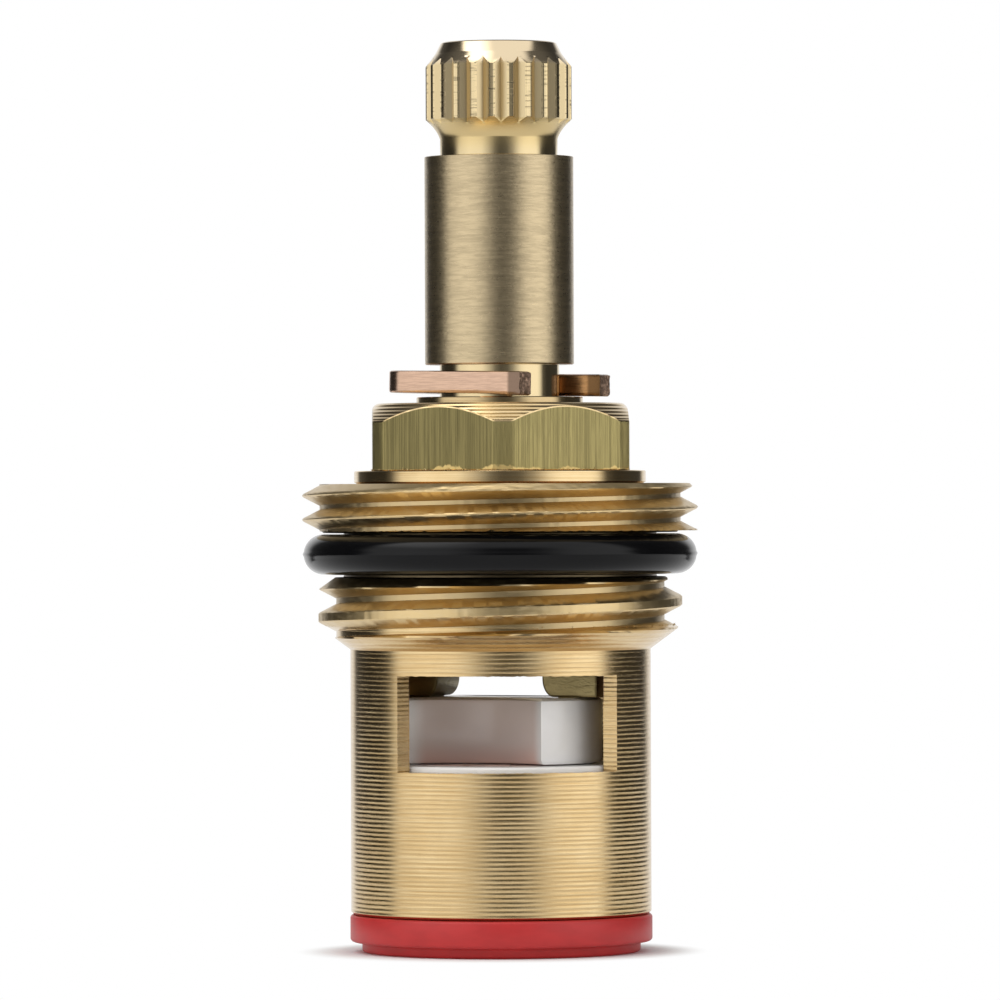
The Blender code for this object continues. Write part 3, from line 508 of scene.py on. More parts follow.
def clip_copper(colour):
    """Rose copper alloy, brushed along its length, with painted shade on a band before its tips, where the edge
    is rolled over.
    """
    finish = Finish("clip_copper")
    brushed = finish.speckle(900.0, 3.0, 14.0, 0.6)
    pits = finish.speckle(3600.0, 3.0, 1.0, 0.6)
    along = finish.x * cos(CLIP_MOUTH_DIRECTION) + finish.y * sin(CLIP_MOUTH_DIRECTION)
    # A band before the tips is painted dark: painted shade of the rolled-over edge.
    painted_tip_shade = along.between(CLIP_MOUTH_LENGTH - 0.95 * MM, CLIP_MOUTH_LENGTH - 0.7 * MM)
    base = finish.mottled(brushed.between(0.35, 0.65), colour, 0.84, 1.03)
    base = finish.layered(base, colour, (painted_tip_shade * 0.9, 0.3))
    return finish.close(base, brushed * 0.12 + 0.13, brushed * 1.1 + pits * 0.35, 0.01 * MM)


def sheared_copper(colour):
    """Rough broken face at the ends of the clip."""
    finish = Finish("sheared_copper")
    grain = finish.speckle(5200.0, 4.0, 1.0, 0.7)
    base = finish.mottled(grain.between(0.4, 0.65), colour, 0.36, 0.95)
    return finish.close(base, 0.4, grain, 0.05 * MM)


def ceramic(colour):
    """Dense white satin ceramic, painted lighter on its outer rims and darker and warmer inwards of them, as
    painted light, shade and reflection.
    """
    finish = Finish("white_ceramic")
    cloud = finish.speckle(700.0, 3.0)
    grain = finish.speckle(9000.0)
    # Inwards of the outer rims the colour turns darker and warmer: painted shade and a painted reflection of
    # the brass.
    hollow = finish.reach().fading(DISC_RADIUS - 1.3 * MM, DISC_RADIUS - 0.05 * MM)
    # Low down it turns redder: a painted reflection of the red seal.
    low = finish.z.fading(DISC_BOTTOM + 0.1 * MM, DISC_BOTTOM + 1.3 * MM)
    # The rims keep a lighter copy of the white: painted light.
    white = finish.mottled(cloud.between(0.3, 0.7), colour, 1.1, 1.15)
    painted_shade_and_reflection = finish.mix(low, tint(colour, 0.93, 0.80, 0.75), tint(colour, 0.96, 0.71, 0.64))
    return finish.close(finish.mix(hollow, white, painted_shade_and_reflection), cloud * 0.08 + 0.14, grain, 0.0006 * MM, 0.0)


def rubber(name, colour, roughness, specular, grain_depth):
    """Moulded rubber with a faint grain."""
    finish = Finish(name)
    grain = finish.speckle(5200.0, 3.0, 1.0, 0.55)
    smear = finish.speckle(620.0, 2.0, 2.5)
    base = finish.mottled(smear.between(0.3, 0.7), colour, 0.94, 1.05)
    return finish.close(base, smear * 0.06 + (roughness - 0.03), grain, grain_depth, 0.0, specular)


def plastic(name, colour):
    """Moulded plastic with a dull skin."""
    finish = Finish(name)
    grain = finish.speckle(4200.0, 3.0)
    base = finish.mottled(grain.between(0.3, 0.7), colour, 0.92, 1.0)
    return finish.close(base, grain * 0.1 + 0.38, grain, 0.002 * MM, 0.0)


def polar(radius, angle, height):
    """Point at a radius, an angle from +X and a height."""
    return Vector((radius * cos(angle), radius * sin(angle), height))


def flicker(point, scale, seed):
    """Smooth chance value from -1 to 1 that belongs to a point."""
    return noise.noise(Vector(point) * scale + Vector((seed, seed * 0.7, seed * 1.3)))


def add_object(name, mesh, materials):
    """New object of the scene with its materials in order."""
    item = bpy.data.objects.new(name, mesh)
    bpy.context.scene.collection.objects.link(item)
    mesh.materials.clear()
    for material in materials:
        mesh.materials.append(material)
    return item


def plain_mesh(name, points, faces, edges=()):
    """New mesh from its points and how they are joined."""
    mesh = bpy.data.meshes.new(name)
    mesh.from_pydata(points, edges, faces)
    return mesh


def edited(mesh, work):
    """A mesh after a piece of work on its open form."""
    edit = bmesh.new()
    edit.from_mesh(mesh)
    work(edit)
    edit.to_mesh(mesh)
    edit.free()
    return mesh


def weld(edit):
    """Make one point of the points that coincide."""
    bmesh.ops.remove_doubles(edit, verts=edit.verts, dist=WELD)


def polish(edit):
    """Weld, drop what has no area and turn the faces outwards."""
    weld(edit)
    bmesh.ops.dissolve_degenerate(edit, edges=edit.edges, dist=WELD / 10)
    bmesh.ops.recalc_face_normals(edit, faces=edit.faces)


def cut_caps(edit):
    """Cut the many-sided faces into triangles."""
    bmesh.ops.triangulate(edit, faces=[face for face in edit.faces if len(face.verts) > 4])


def shade(mesh, sharp):
    """Shade a mesh smooth between its edges sharper than an angle."""
    mesh.shade_smooth()
    mesh.set_sharp_from_angle(angle=sharp)


def skin(name, sections, loop, left_out=(), added=()):
    """Mesh over sections of equal length, side by side: the first and last section may coincide."""
    rows = len(sections[0])
    faces = []
    for column in range(len(sections) - 1):
        for row in range(rows if loop else rows - 1):
            if (column, row) not in left_out:
                below = (row + 1) % rows
                here = column * rows
                there = here + rows
                faces.append((here + row, here + below, there + below, there + row))
    points = [point for section in sections for point in section]
    return plain_mesh(name, points, faces + list(added))


def lathe(name, section, columns):
    """Turned mesh from a closed section of radius and height."""
    angles = [tau * column / columns for column in range(columns + 1)]
    sections = [[polar(radius, angle, height) for radius, height in section] for angle in angles]
    return edited(skin(name, sections, True), polish)


def eased(section, width):
    """Closed section with a small flat on each of its sharp corners."""
    result = []
    count = len(section)
    for index, corner in enumerate(section):
        here = Vector(corner)
        before = Vector(section[index - 1]) - here
        after = Vector(section[(index + 1) % count]) - here
        straight = before.normalized().dot(after.normalized()) < -0.94
        reach = min(width, before.length / 3, after.length / 3)
        if straight or reach < WELD:
            result.append(tuple(here))
        else:
            result.append(tuple(here + before.normalized() * reach))
            result.append(tuple(here + after.normalized() * reach))
    return result


def arc(radius, start, end, step, centre=(0.0, 0.0)):
    """Points along an arc from one angle to another, both ends included."""
    count = max(2, round(abs(end - start) / step))
    points = []
    for index in range(count + 1):
        angle = start + (end - start) * index / count
        points.append((centre[0] + radius * cos(angle), centre[1] + radius * sin(angle)))
    return points


def inset(outline, distance):
    """Closed outline, counted anticlockwise, moved inwards by a distance."""
    moved = []
    count = len(outline)
    for index in range(count):
        here = Vector(outline[index])
        along = (here - Vector(outline[index - 1])).normalized()
        onward = (Vector(outline[(index + 1) % count]) - here).normalized()
        normal = Vector((-along.y - onward.y, along.x + onward.x))
        if normal.length < 0.2:
            normal = Vector((-along.y, along.x)) * 2
        reach = distance / max(0.35, normal.length / 2)
        moved.append(tuple(here + normal.normalized() * reach))
    return moved


def rim_step(rim, share):
    """Inset and rise of a point on a rounded rim, a share of the way up it."""
    turn = share * pi / 2
    return rim * (1 - sin(turn)), rim * (1 - cos(turn))


def slab(name, outline, bottom, top, rim, rows=1):
    """Straight-sided piece over an anticlockwise outline, with rims rounded in steps."""
    foot = [rim_step(rim, share) for share in (0.0, 0.35, 1.0)]
    head = [rim_step(rim, share) for share in (0.65, 0.0)]
    levels = [(distance, bottom + rise) for distance, rise in foot]
    levels += [(0.0, bottom + rim + (top - bottom - 2 * rim) * step / rows) for step in range(1, rows + 1)]
    levels += [(distance, top - rise) for distance, rise in head]
    count = len(outline)
    points = []
    for distance, height in levels:
        ring = inset(outline, distance) if distance > WELD else outline
        points += [(x, y, height) for x, y in ring]
    last = (len(levels) - 1) * count
    faces = [tuple(reversed(range(count)))]
    for here in range(0, last, count):
        for index in range(count):
            onward = (index + 1) % count
            faces.append((here + index, here + onward, here + count + onward, here + count + index))
    faces.append(tuple(range(last, last + count)))
    return edited(plain_mesh(name, points, faces), cut_caps)


def join(name, meshes, materials, sharp=SHARP_ANGLE):
    """One object from several meshes, in order."""
    edit = bmesh.new()
    for mesh in meshes:
        edit.from_mesh(mesh)
        bpy.data.meshes.remove(mesh)
    whole = bpy.data.meshes.new(name)
    edit.to_mesh(whole)
    edit.free()
    item = add_object(name, whole, materials)
    shade(whole, sharp)
    return item


def make_plain(item):
    """Put the result of an object's modifiers in place of its mesh."""
    bpy.context.view_layer.update()
    graph = bpy.context.evaluated_depsgraph_get()
    mesh = bpy.data.meshes.new_from_object(item.evaluated_get(graph))
    if len(mesh.polygons) == 0:
        raise RuntimeError(f"The modifiers leave nothing of {item.name}")
    item.modifiers.clear()
    item.data = mesh


def node_group(name, inputs):
    """Geometry Nodes tree with inputs, each a name, a type and a default: gives its nodes and its inputs."""
    tree = bpy.data.node_groups.new(name, "GeometryNodeTree")
    tree.interface.new_socket("Geometry", in_out="INPUT", socket_type="NodeSocketGeometry")
    for label, kind, default in inputs:
        socket = tree.interface.new_socket(label, in_out="INPUT", socket_type="NodeSocket" + kind)
        if default is not None:
            socket.default_value = default
    tree.interface.new_socket("Geometry", in_out="OUTPUT", socket_type="NodeSocketGeometry")
    nodes = Nodes(tree)
    return nodes, nodes.add("NodeGroupInput").output


def close_group(nodes, geometry, material):
    """Paint the geometry, make it the tree's result and give the tree."""
    painted = nodes.add("GeometryNodeSetMaterial", {"Geometry": geometry, "Material": material})
    nodes.add("NodeGroupOutput", {"Geometry": painted})
    return nodes.tree


def run_nodes(item, tree, values):
    """Run a tree on an object and leave the result as its plain mesh."""
    modifier = item.modifiers.new(tree.name, "NODES")
    modifier.node_group = tree
    for socket in tree.interface.items_tree:
        if socket.in_out == "INPUT" and socket.name in values:
            modifier[socket.identifier] = values[socket.name]
    make_plain(item)


def real_copies(nodes, sockets):
    """Copies of an instance on points, made real."""
    copies = nodes.add("GeometryNodeInstanceOnPoints", sockets)
    return nodes.add("GeometryNodeRealizeInstances", {"Geometry": copies})


def repeat_round_tree():
    """Repeats a sector about the Z axis, welds the copies and gives them a material."""
    nodes, given = node_group("repeat_round", (
        ("Count", "Int", 24), ("Weld", "Float", WELD * 2), ("Material", "Material", None),
    ))
    points = nodes.add("GeometryNodeMeshLine", {"Count": given("Count"), "Offset": (0.0, 0.0, 0.0)})
    angle = nodes.add("GeometryNodeInputIndex") * tau / given("Count")
    turn = nodes.add("ShaderNodeCombineXYZ", {"Z": angle})
    whole = real_copies(nodes, {"Points": points, "Instance": given("Geometry"), "Rotation": turn})
    welded = nodes.add("GeometryNodeMergeByDistance", {"Geometry": whole, "Distance": given("Weld")})
    return close_group(nodes, welded, given("Material"))


def burr_tree():
    """Scatters small slivers of metal along the edges of a wire mesh."""
    nodes, given = node_group("burrs", (
        ("Count", "Int", 60), ("Length", "Float", 0.12 * MM), ("Thickness", "Float", 0.02 * MM),
        ("Seed", "Int", 1), ("Material", "Material", None),
    ))
    path = nodes.add("GeometryNodeMeshToCurve", {"Mesh": given("Geometry")})
    points = nodes.add("GeometryNodeCurveToPoints", {"Curve": path, "Count": given("Count")}, mode="COUNT")
    sliver = nodes.add("GeometryNodeMeshCone", {
        "Vertices": 4, "Radius Top": 0.0, "Radius Bottom": given("Thickness"), "Depth": given("Length"),
    })
    seed = given("Seed")
    chance = "FunctionNodeRandomValue"
    turns = {"Min": (-1.2, -1.2, 0.0), "Max": (1.2, 1.2, tau), "Seed": seed}
    whole = real_copies(nodes, {
        "Points": points,
        "Instance": sliver,
        "Rotation": nodes.add(chance, turns, data_type="FLOAT_VECTOR"),
        "Scale": nodes.add(chance, {2: 0.25, 3: 1.0, "Seed": seed + 7}, 1, data_type="FLOAT"),
        "Selection": nodes.add(chance, {"Probability": 0.55, "Seed": seed + 3}, 3, data_type="BOOLEAN"),
    })
    return close_group(nodes, whole, given("Material"))


def hexagon_radius(angle):
    """Radius of the hexagon's flats at an angle, with its corners turned off."""
    sixth = pi / 3
    from_flat = (angle - HEX_CORNER_DIRECTION) % sixth - sixth / 2
    return min(HEX_HALF_FLATS / cos(from_flat), HEX_CORNER_RADIUS)


def follow(section, height):
    """Radius of a falling section at a height."""
    for (radius, top), (next_radius, bottom) in zip(section, section[1:]):
        if bottom <= height <= top and top > bottom:
            return next_radius + (radius - next_radius) * (height - bottom) / (top - bottom)
    return section[0][0] if height > section[0][1] else section[-1][0]


def threaded(blank, crest, depth, pitch, crossing, direction, angle):
    """Falling section of a threaded stretch at an angle: its blank with the thread's groove cut in it."""
    top = blank[0][1]
    bottom = blank[-1][1]
    half_root = pitch * THREAD_ROOT_SHARE / 2
    half_mouth = half_root + depth * THREAD_FLANK
    middle = crossing + pitch * (angle - direction) / tau
    heights = [height for _, height in blank]
    for turn in range(-4, 5):
        for reach in (half_root, half_mouth - CREST_EDGE, half_mouth + CREST_EDGE):
            for side in (-1, 1):
                heights.append(min(top, max(bottom, middle + turn * pitch + side * reach)))
    heights.sort(reverse=True)
    section = []
    for height in heights:
        off_middle = abs((height - middle + pitch / 2) % pitch - pitch / 2)
        groove = crest - depth + max(0.0, off_middle - half_root) / THREAD_FLANK
        if off_middle > half_mouth - CREST_EDGE:
            groove = crest + (off_middle - half_mouth - CREST_EDGE) / (2 * THREAD_FLANK)
        section.append((min(follow(blank, height), groove), height))
    return section


def ramped(start, end, steps):
    """Points in even steps from one point to another, without the last one."""
    points = []
    for step in range(steps):
        share = step / steps
        points.append((start[0] + (end[0] - start[0]) * share, start[1] + (end[1] - start[1]) * share))
    return points


UPPER_BLANK = (
    ramped((UPPER_THREAD_RADIUS - UPPER_CHAMFER, UPPER_THREAD_TOP),
           (UPPER_THREAD_RADIUS, UPPER_THREAD_TOP - UPPER_CHAMFER), 6)
    + [(UPPER_THREAD_RADIUS, UPPER_THREAD_TOP - UPPER_CHAMFER), (UPPER_THREAD_RADIUS, GROOVE_TOP)]
)
LOWER_BLANK = (
    ramped((GROOVE_LIP_RADIUS, GROOVE_BOTTOM), (LOWER_THREAD_RADIUS, LOWER_THREAD_TOP), 8)
    + [(LOWER_THREAD_RADIUS, LOWER_THREAD_TOP)]
    + ramped((LOWER_THREAD_RADIUS, LOWER_THREAD_BOTTOM), (SKIRT_RADIUS, SKIRT_TOP), 12)
    + [(SKIRT_RADIUS, SKIRT_TOP)]
)


def upper_thread(angle, sizes):
    """Falling section of the upper thread at an angle."""
    return threaded(UPPER_BLANK, UPPER_THREAD_RADIUS, sizes.upper_depth, sizes.upper_pitch,
                    GROOVE_TOP, UPPER_THREAD_START, angle)


def lower_thread(angle, sizes):
    """Falling section of the lower thread and the cone under it at an angle."""
    return threaded(LOWER_BLANK, LOWER_THREAD_RADIUS, sizes.lower_depth, sizes.lower_pitch,
                    LOWER_THREAD_BOTTOM, LOWER_THREAD_START, angle)


def body_section(angle, sizes):
    """Radius and height of the body's skin at an angle, from its boss down to its skirt."""
    flat = hexagon_radius(angle)
    cone = HEX_TOP - (flat - HEX_CONE_RADIUS) * HEX_CONE_SLOPE
    return [
        (BOSS_RADIUS - EDGE, BOSS_TOP),
        (BOSS_RADIUS, BOSS_TOP - EDGE),
        (BOSS_RADIUS, HEX_TOP),
        (HEX_CONE_RADIUS - EDGE, HEX_TOP),
        (HEX_CONE_RADIUS + EDGE, HEX_TOP - EDGE * HEX_CONE_SLOPE),
        (flat - EDGE / 2, cone + EDGE / 2 * HEX_CONE_SLOPE),
        (flat, cone - EDGE),
        (flat, HEX_BOTTOM + EDGE),
        (flat - EDGE, HEX_BOTTOM),
        (COLLAR_RADIUS - EDGE, HEX_BOTTOM),
        (COLLAR_RADIUS, HEX_BOTTOM - EDGE),
        (COLLAR_RADIUS, UPPER_THREAD_TOP + 2 * EDGE),
        (COLLAR_RADIUS - 3 * EDGE, UPPER_THREAD_TOP),
        *upper_thread(angle, sizes),
        (LIP_RADIUS + LIP_HEIGHT, GROOVE_TOP),
        (LIP_RADIUS, GROOVE_TOP - LIP_HEIGHT),
        (LIP_RADIUS - LIP_HEIGHT, GROOVE_TOP),
        (GROOVE_ROOT_RADIUS + EDGE, GROOVE_TOP),
        (GROOVE_ROOT_RADIUS, GROOVE_TOP - EDGE),
        (GROOVE_ROOT_RADIUS, GROOVE_BOTTOM + EDGE),
        (GROOVE_ROOT_RADIUS + EDGE, GROOVE_BOTTOM),
        *lower_thread(angle, sizes),
    ]


def body_angles(columns):
    """Angles of the body's columns, the nearest ones moved to the windows' jambs."""
    step = tau / columns
    angles = [HEX_CORNER_DIRECTION + step * column for column in range(columns + 1)]
    jambs = []
    for direction in (WINDOW_DIRECTION, WINDOW_DIRECTION + pi):
        pair = []
        for side in (-1, 1):
            jamb = direction + side * WINDOW_ANGLE / 2
            column = round((jamb - angles[0]) % tau / step)
            angles[column] = angles[0] + (jamb - angles[0]) % tau
            pair.append(column)
        jambs.append(pair)
    return angles, jambs


def wear_edges(point, raggedness):
    """Move a point of the skin: crests are worn in, and the edges that a tool left are torn up or down."""
    reach = hypot(point.x, point.y)
    if point.z < UPPER_THREAD_TOP - 0.1 * MM and reach > GROOVE_LIP_RADIUS:
        wear = min(0.0, raggedness * 0.9 * (flicker(point, 5200.0, 1.0) - 0.1)) / reach
        point.x *= 1 + wear
        point.y *= 1 + wear
    if abs(point.z - GROOVE_TOP) < WELD and reach > GROOVE_ROOT_RADIUS + 4 * EDGE:
        point.z += raggedness * 4 * max(0.0, flicker(point, 3300.0, 2.0))
    if abs(point.z - HEX_BOTTOM - EDGE) < WELD and reach < HEX_CORNER_RADIUS + EDGE:
        point.z += raggedness * 0.8 * flicker(point, 5200.0, 4.0)


def body_mesh(sizes):
    """Skin of the whole body, with its windows left open and their walls closed."""
    angles, jambs = body_angles(sizes.columns)
    levels = [WINDOW_TOP + (WINDOW_BOTTOM - WINDOW_TOP) * row / WINDOW_ROWS for row in range(WINDOW_ROWS + 1)]
    outside = [(SKIRT_RADIUS, height) for height in levels]
    inside = [(BORE_RADIUS, height) for height in reversed(levels)]
    bottom = [
        (SKIRT_RADIUS, SKIRT_BOTTOM + SKIRT_CHAMFER),
        (SKIRT_RADIUS - SKIRT_CHAMFER, SKIRT_BOTTOM),
        (BORE_RADIUS + BORE_CHAMFER, SKIRT_BOTTOM),
        (BORE_RADIUS, SKIRT_BOTTOM + BORE_CHAMFER),
    ]
    shoulder = [
        (BORE_RADIUS, SHOULDER_LEVEL),
        (SPINDLE_BORE_RADIUS + BORE_CHAMFER, SHOULDER_LEVEL),
        (SPINDLE_BORE_RADIUS, SHOULDER_LEVEL + BORE_CHAMFER),
        (SPINDLE_BORE_RADIUS, BOSS_TOP),
    ]
    sections = []
    for angle in angles:
        above = body_section(angle, sizes)
        section = above + outside + bottom + inside + shoulder
        sections.append([polar(radius, angle, height) for radius, height in section])
    outer_start = len(above)
    inner_start = outer_start + len(outside + bottom)
    rows = len(sections[0])
    left_out = set()
    added = []

    def wall(first_column, first_row, last_column, last_row):
        """Face of a window's wall, from the outside to the inside of the skin."""
        outer_first = first_column * rows + outer_start + first_row
        outer_last = last_column * rows + outer_start + last_row
        inner_first = first_column * rows + inner_start + WINDOW_ROWS - first_row
        inner_last = last_column * rows + inner_start + WINDOW_ROWS - last_row
        added.append((outer_first, outer_last, inner_last, inner_first))

    for first, last in jambs:
        spans = [(first, last)] if first < last else [(first, len(sections) - 1), (0, last)]
        for start, end in spans:
            for column in range(start, end):
                for row in range(WINDOW_ROWS):
                    left_out |= {(column, outer_start + row), (column, inner_start + row)}
                for row in (0, WINDOW_ROWS):
                    wall(column, row, column + 1, row)
        for column in (first, last):
            for row in range(WINDOW_ROWS):
                wall(column, row, column, row + 1)
            for point in sections[column][outer_start:outer_start + WINDOW_ROWS + 1]:
                swing = sizes.raggedness * 0.7 * flicker(point, 9000.0, 3.0) / SKIRT_RADIUS
                point.rotate(Matrix.Rotation(swing, 3, "Z"))
        for start, end in spans:
            for column in range(start, end + 1):
                for row in (0, WINDOW_ROWS):
                    point = sections[column][outer_start + row]
                    point.z += sizes.raggedness * 1.2 * flicker(point, 4200.0, 5.0)
    for section in sections:
        for point in section[:outer_start]:
            wear_edges(point, sizes.raggedness)
    return edited(skin("valve_body_skin", sections, True, left_out, added), polish)


def sector(inner, outer, direction, width):
    """Anticlockwise outline of a ring sector with radial sides."""
    start = direction - width / 2
    end = direction + width / 2
    return arc(outer, start, end, radians(2)) + arc(inner, end, start, radians(2))


def block(inner, outer, width, direction):
    """Anticlockwise outline of a box that reaches from an inner to an outer radius."""
    corners = ((inner, -width / 2), (outer, -width / 2), (outer, width / 2), (inner, width / 2))
    turn = Matrix.Rotation(direction, 3, "Z")
    return [tuple((turn @ Vector((x, y, 0.0))).to_2d()) for x, y in corners]


def both_ways(direction):
    """A direction and the one across the axis from it."""
    return (direction, direction + pi)


def body_details():
    """Stop ribs and disc keys inside the body."""
    meshes = []
    rib_direction = OPEN_ANGLE + WING_ANGLE / 2 + STOP_GAP_ANGLE + RIB_ANGLE / 2
    for direction in both_ways(rib_direction):
        outline = sector(BORE_RADIUS - STOP_RIB_DEPTH, BORE_RADIUS + WALL_BITE, direction, RIB_ANGLE)
        meshes.append(slab("stop_rib", outline, FLANGE_BOTTOM, SHOULDER_LEVEL + WALL_BITE, EDGE))
    for direction in both_ways(WINDOW_DIRECTION + pi / 2):
        outline = block(BORE_RADIUS - KEY_DEPTH, BORE_RADIUS + WALL_BITE, KEY_WIDTH, direction)
        meshes.append(slab("disc_key", outline, KEY_BOTTOM, WINDOW_BOTTOM, EDGE))
    return meshes


def paint_body(mesh):
    """Threads take the second material and the hexagon's flats the third."""
    for face in mesh.polygons:
        reach = hypot(face.center.x, face.center.y)
        height = face.center.z
        if THREAD_FINISH_BOTTOM < height < UPPER_THREAD_TOP - 0.01 * MM and reach > GROOVE_ROOT_RADIUS - EDGE:
            face.material_index = 1
        on_flats = HEX_BOTTOM < height < HEX_TOP - EDGE and reach > HEX_HALF_FLATS - 2 * EDGE
        if on_flats and abs(face.normal.z) < 0.3:
            face.material_index = 2


class BodyMaker(bpy.types.Operator):
    """Turned body with its threads, hexagon and windows"""

    bl_idname = "cartridge.body"
    bl_label = "Valve body"

    def execute(self, context):
        sizes = context.scene.cartridge_sizes
        colours = context.scene.cartridge_finishes
        materials = [
            turned_brass(colours.turned_brass, sizes.turning_pitch),
            thread_brass(colours.turned_brass),
            broached_brass(colours.broached_brass, tint(colours.turned_brass, 1.2, 1.15, 0.85)),
        ]
        item = join("brass_body", [body_mesh(sizes)] + body_details(), materials, BODY_SHARP_ANGLE)
        paint_body(item.data)
        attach(item, "valve")
        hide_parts("valve_body")
        return {"FINISHED"}


def helix(crest, pitch, crossing, direction, lift, start, end):
    """Points along a thread line from one level to another, lifted from the groove's middle."""
    points = []
    angle = direction + tau * (start - crossing - lift) / pitch
    height = start
    while height < end:
        points.append(polar(crest, angle, height))
        angle += radians(3)
        height = crossing + lift + pitch * (angle - direction) / tau
    return points


def wire_object(name, points, closed):
    """Mesh of edges through points, for a tree to work on."""
    edges = [(index, index + 1) for index in range(len(points) - 1)]
    if closed:
        edges.append((len(points) - 1, 0))
    return add_object(name, plain_mesh(name, points, [], edges), [])


class BurrMaker(bpy.types.Operator):
    """Slivers that the tools left on the thread edges and the hexagon"""

    bl_idname = "cartridge.burrs"
    bl_label = "Burrs"

    def execute(self, context):
        sizes = context.scene.cartridge_sizes
        brass = bpy.data.materials["turned_brass"]
        tree = burr_tree()
        under_thread = []
        run_out = []
        under_hex = []
        for angle in [tau * index / 360 for index in range(360)]:
            edge = upper_thread(angle, sizes)[-1][0]
            end = follow(lower_thread(angle, sizes), LOWER_THREAD_BOTTOM)
            under_thread.append(polar(edge - 0.08 * MM, angle, GROOVE_TOP + 0.01 * MM))
            run_out.append(polar(end - 0.02 * MM, angle, LOWER_THREAD_BOTTOM))
            under_hex.append(polar(hexagon_radius(angle), angle, HEX_BOTTOM + 0.03 * MM))
        crest = helix(LOWER_THREAD_RADIUS, sizes.lower_pitch, LOWER_THREAD_BOTTOM, LOWER_THREAD_START,
                      sizes.lower_pitch / 2 - 0.2 * MM, LOWER_THREAD_BOTTOM, LOWER_THREAD_TOP)
        groups = (
            ("burrs_under_thread", under_thread, True, 700, 0.15 * MM, 11),
            ("burrs_run_out", run_out, True, 420, 0.17 * MM, 12),
            ("burrs_under_hexagon", under_hex, True, 420, 0.2 * MM, 13),
            ("burrs_on_crest", crest, False, 200, 0.08 * MM, 14),
        )
        for name, points, closed, count, size, seed in groups:
            item = wire_object(name, points, closed)
            run_nodes(item, tree, {
                "Count": count, "Length": size, "Thickness": size / 5, "Seed": seed, "Material": brass,
            })
            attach(item, "valve")
        return {"FINISHED"}


def spindle_rows():
    """Radius and height of the spindle's skin in three stretches, of which the middle one is splined."""
    hole_bottom = SPINDLE_TOP - SCREW_HOLE_DEPTH
    above = [(0.0, hole_bottom - SCREW_HOLE_TIP), (SCREW_HOLE_RADIUS, hole_bottom)]
    level = hole_bottom + SCREW_THREAD_PITCH
    while level < SPINDLE_TOP - SCREW_THREAD_PITCH:
        above += [
            (SCREW_HOLE_RADIUS, level - SCREW_THREAD_DEPTH),
            (SCREW_HOLE_RADIUS + SCREW_THREAD_DEPTH, level),
            (SCREW_HOLE_RADIUS, level + SCREW_THREAD_DEPTH),
        ]
        level += SCREW_THREAD_PITCH
    above += [
        (SCREW_HOLE_RADIUS, SPINDLE_TOP - 0.4 * MM),
        (SCREW_HOLE_RADIUS + 0.35 * MM, SPINDLE_TOP),
        (HEAD_TIP_RADIUS - EDGE, SPINDLE_TOP),
        (HEAD_TIP_RADIUS + EDGE / 2, SPINDLE_TOP - EDGE),
    ]
    splined = ramped((HEAD_CONE_RADIUS, HEAD_CONE_TOP), (HEAD_RADIUS, SPLINE_TOP), 14)
    splined += [(HEAD_RADIUS - 0.01 * MM, SPLINE_TOP + 0.02 * MM), (HEAD_RADIUS, SPLINE_TOP - EDGE)]
    splined += ramped((HEAD_RADIUS, SPLINE_TOP - 2 * EDGE), (HEAD_RADIUS, SPLINE_BOTTOM + EDGE), 4)
    foot = ((HEAD_RADIUS, SPLINE_BOTTOM), HEAD_FOOT_PULL, (NECK_RADIUS, HEAD_BOTTOM))
    for step in range(16):
        share = step / 16
        weights = ((1 - share) ** 2, 2 * share * (1 - share), share ** 2)
        splined.append(tuple(
            sum(weight * value for weight, value in zip(weights, values)) for values in zip(*foot)
        ))
    below = [
        (NECK_RADIUS, HEAD_BOTTOM),
        (NECK_RADIUS, SHAFT_TOP + EDGE),
        (NECK_RADIUS + EDGE, SHAFT_TOP),
        (SHAFT_RADIUS - EDGE / 2, SHAFT_TOP),
        (SHAFT_RADIUS, SHAFT_TOP - EDGE / 2),
        (SHAFT_RADIUS, CLIP_GROOVE_TOP + EDGE),
        (SHAFT_RADIUS - EDGE, CLIP_GROOVE_TOP),
        (CLIP_NECK_RADIUS, CLIP_GROOVE_TOP),
        (CLIP_NECK_RADIUS, CLIP_GROOVE_BOTTOM),
        (SHAFT_RADIUS, CLIP_GROOVE_BOTTOM),
    ]
    for middle in SPINDLE_O_RING_HEIGHTS:
        top = middle + SPINDLE_GROOVE_WIDTH / 2
        bottom = middle - SPINDLE_GROOVE_WIDTH / 2
        below += [(SHAFT_RADIUS, top), (SPINDLE_GROOVE_ROOT, top)]
        below += [(SPINDLE_GROOVE_ROOT, bottom), (SHAFT_RADIUS, bottom)]
    flange_middle = (FLANGE_BOTTOM + FLANGE_TOP) / 2
    return above, splined, below + [(SHAFT_RADIUS, flange_middle), (0.0, flange_middle)]


def tooth_point(radius, height, column, splined, half_period):
    """Point of a groove's flank, in columns up to 3 from its middle, or of the land beside it, up to 6."""
    depth = max(0.0, radius - SPLINE_ROOT_RADIUS) if splined else 0.0
    edge_angle = atan2(depth * SPLINE_FLANK + SPLINE_ROOT_FLAT, radius) if depth else half_period / 2
    share = abs(column) / 3
    if share > 1:
        angle = edge_angle + (half_period - edge_angle) * (share - 1)
    elif depth:
        across = tan(edge_angle) * radius * share
        along = SPLINE_ROOT_RADIUS + (radius - SPLINE_ROOT_RADIUS) * share
        angle = atan2(across, along)
        radius = hypot(across, along)
    else:
        angle = edge_angle * share
    return polar(radius, copysign(angle, column) + SPLINE_GROOVE_DIRECTION, height)


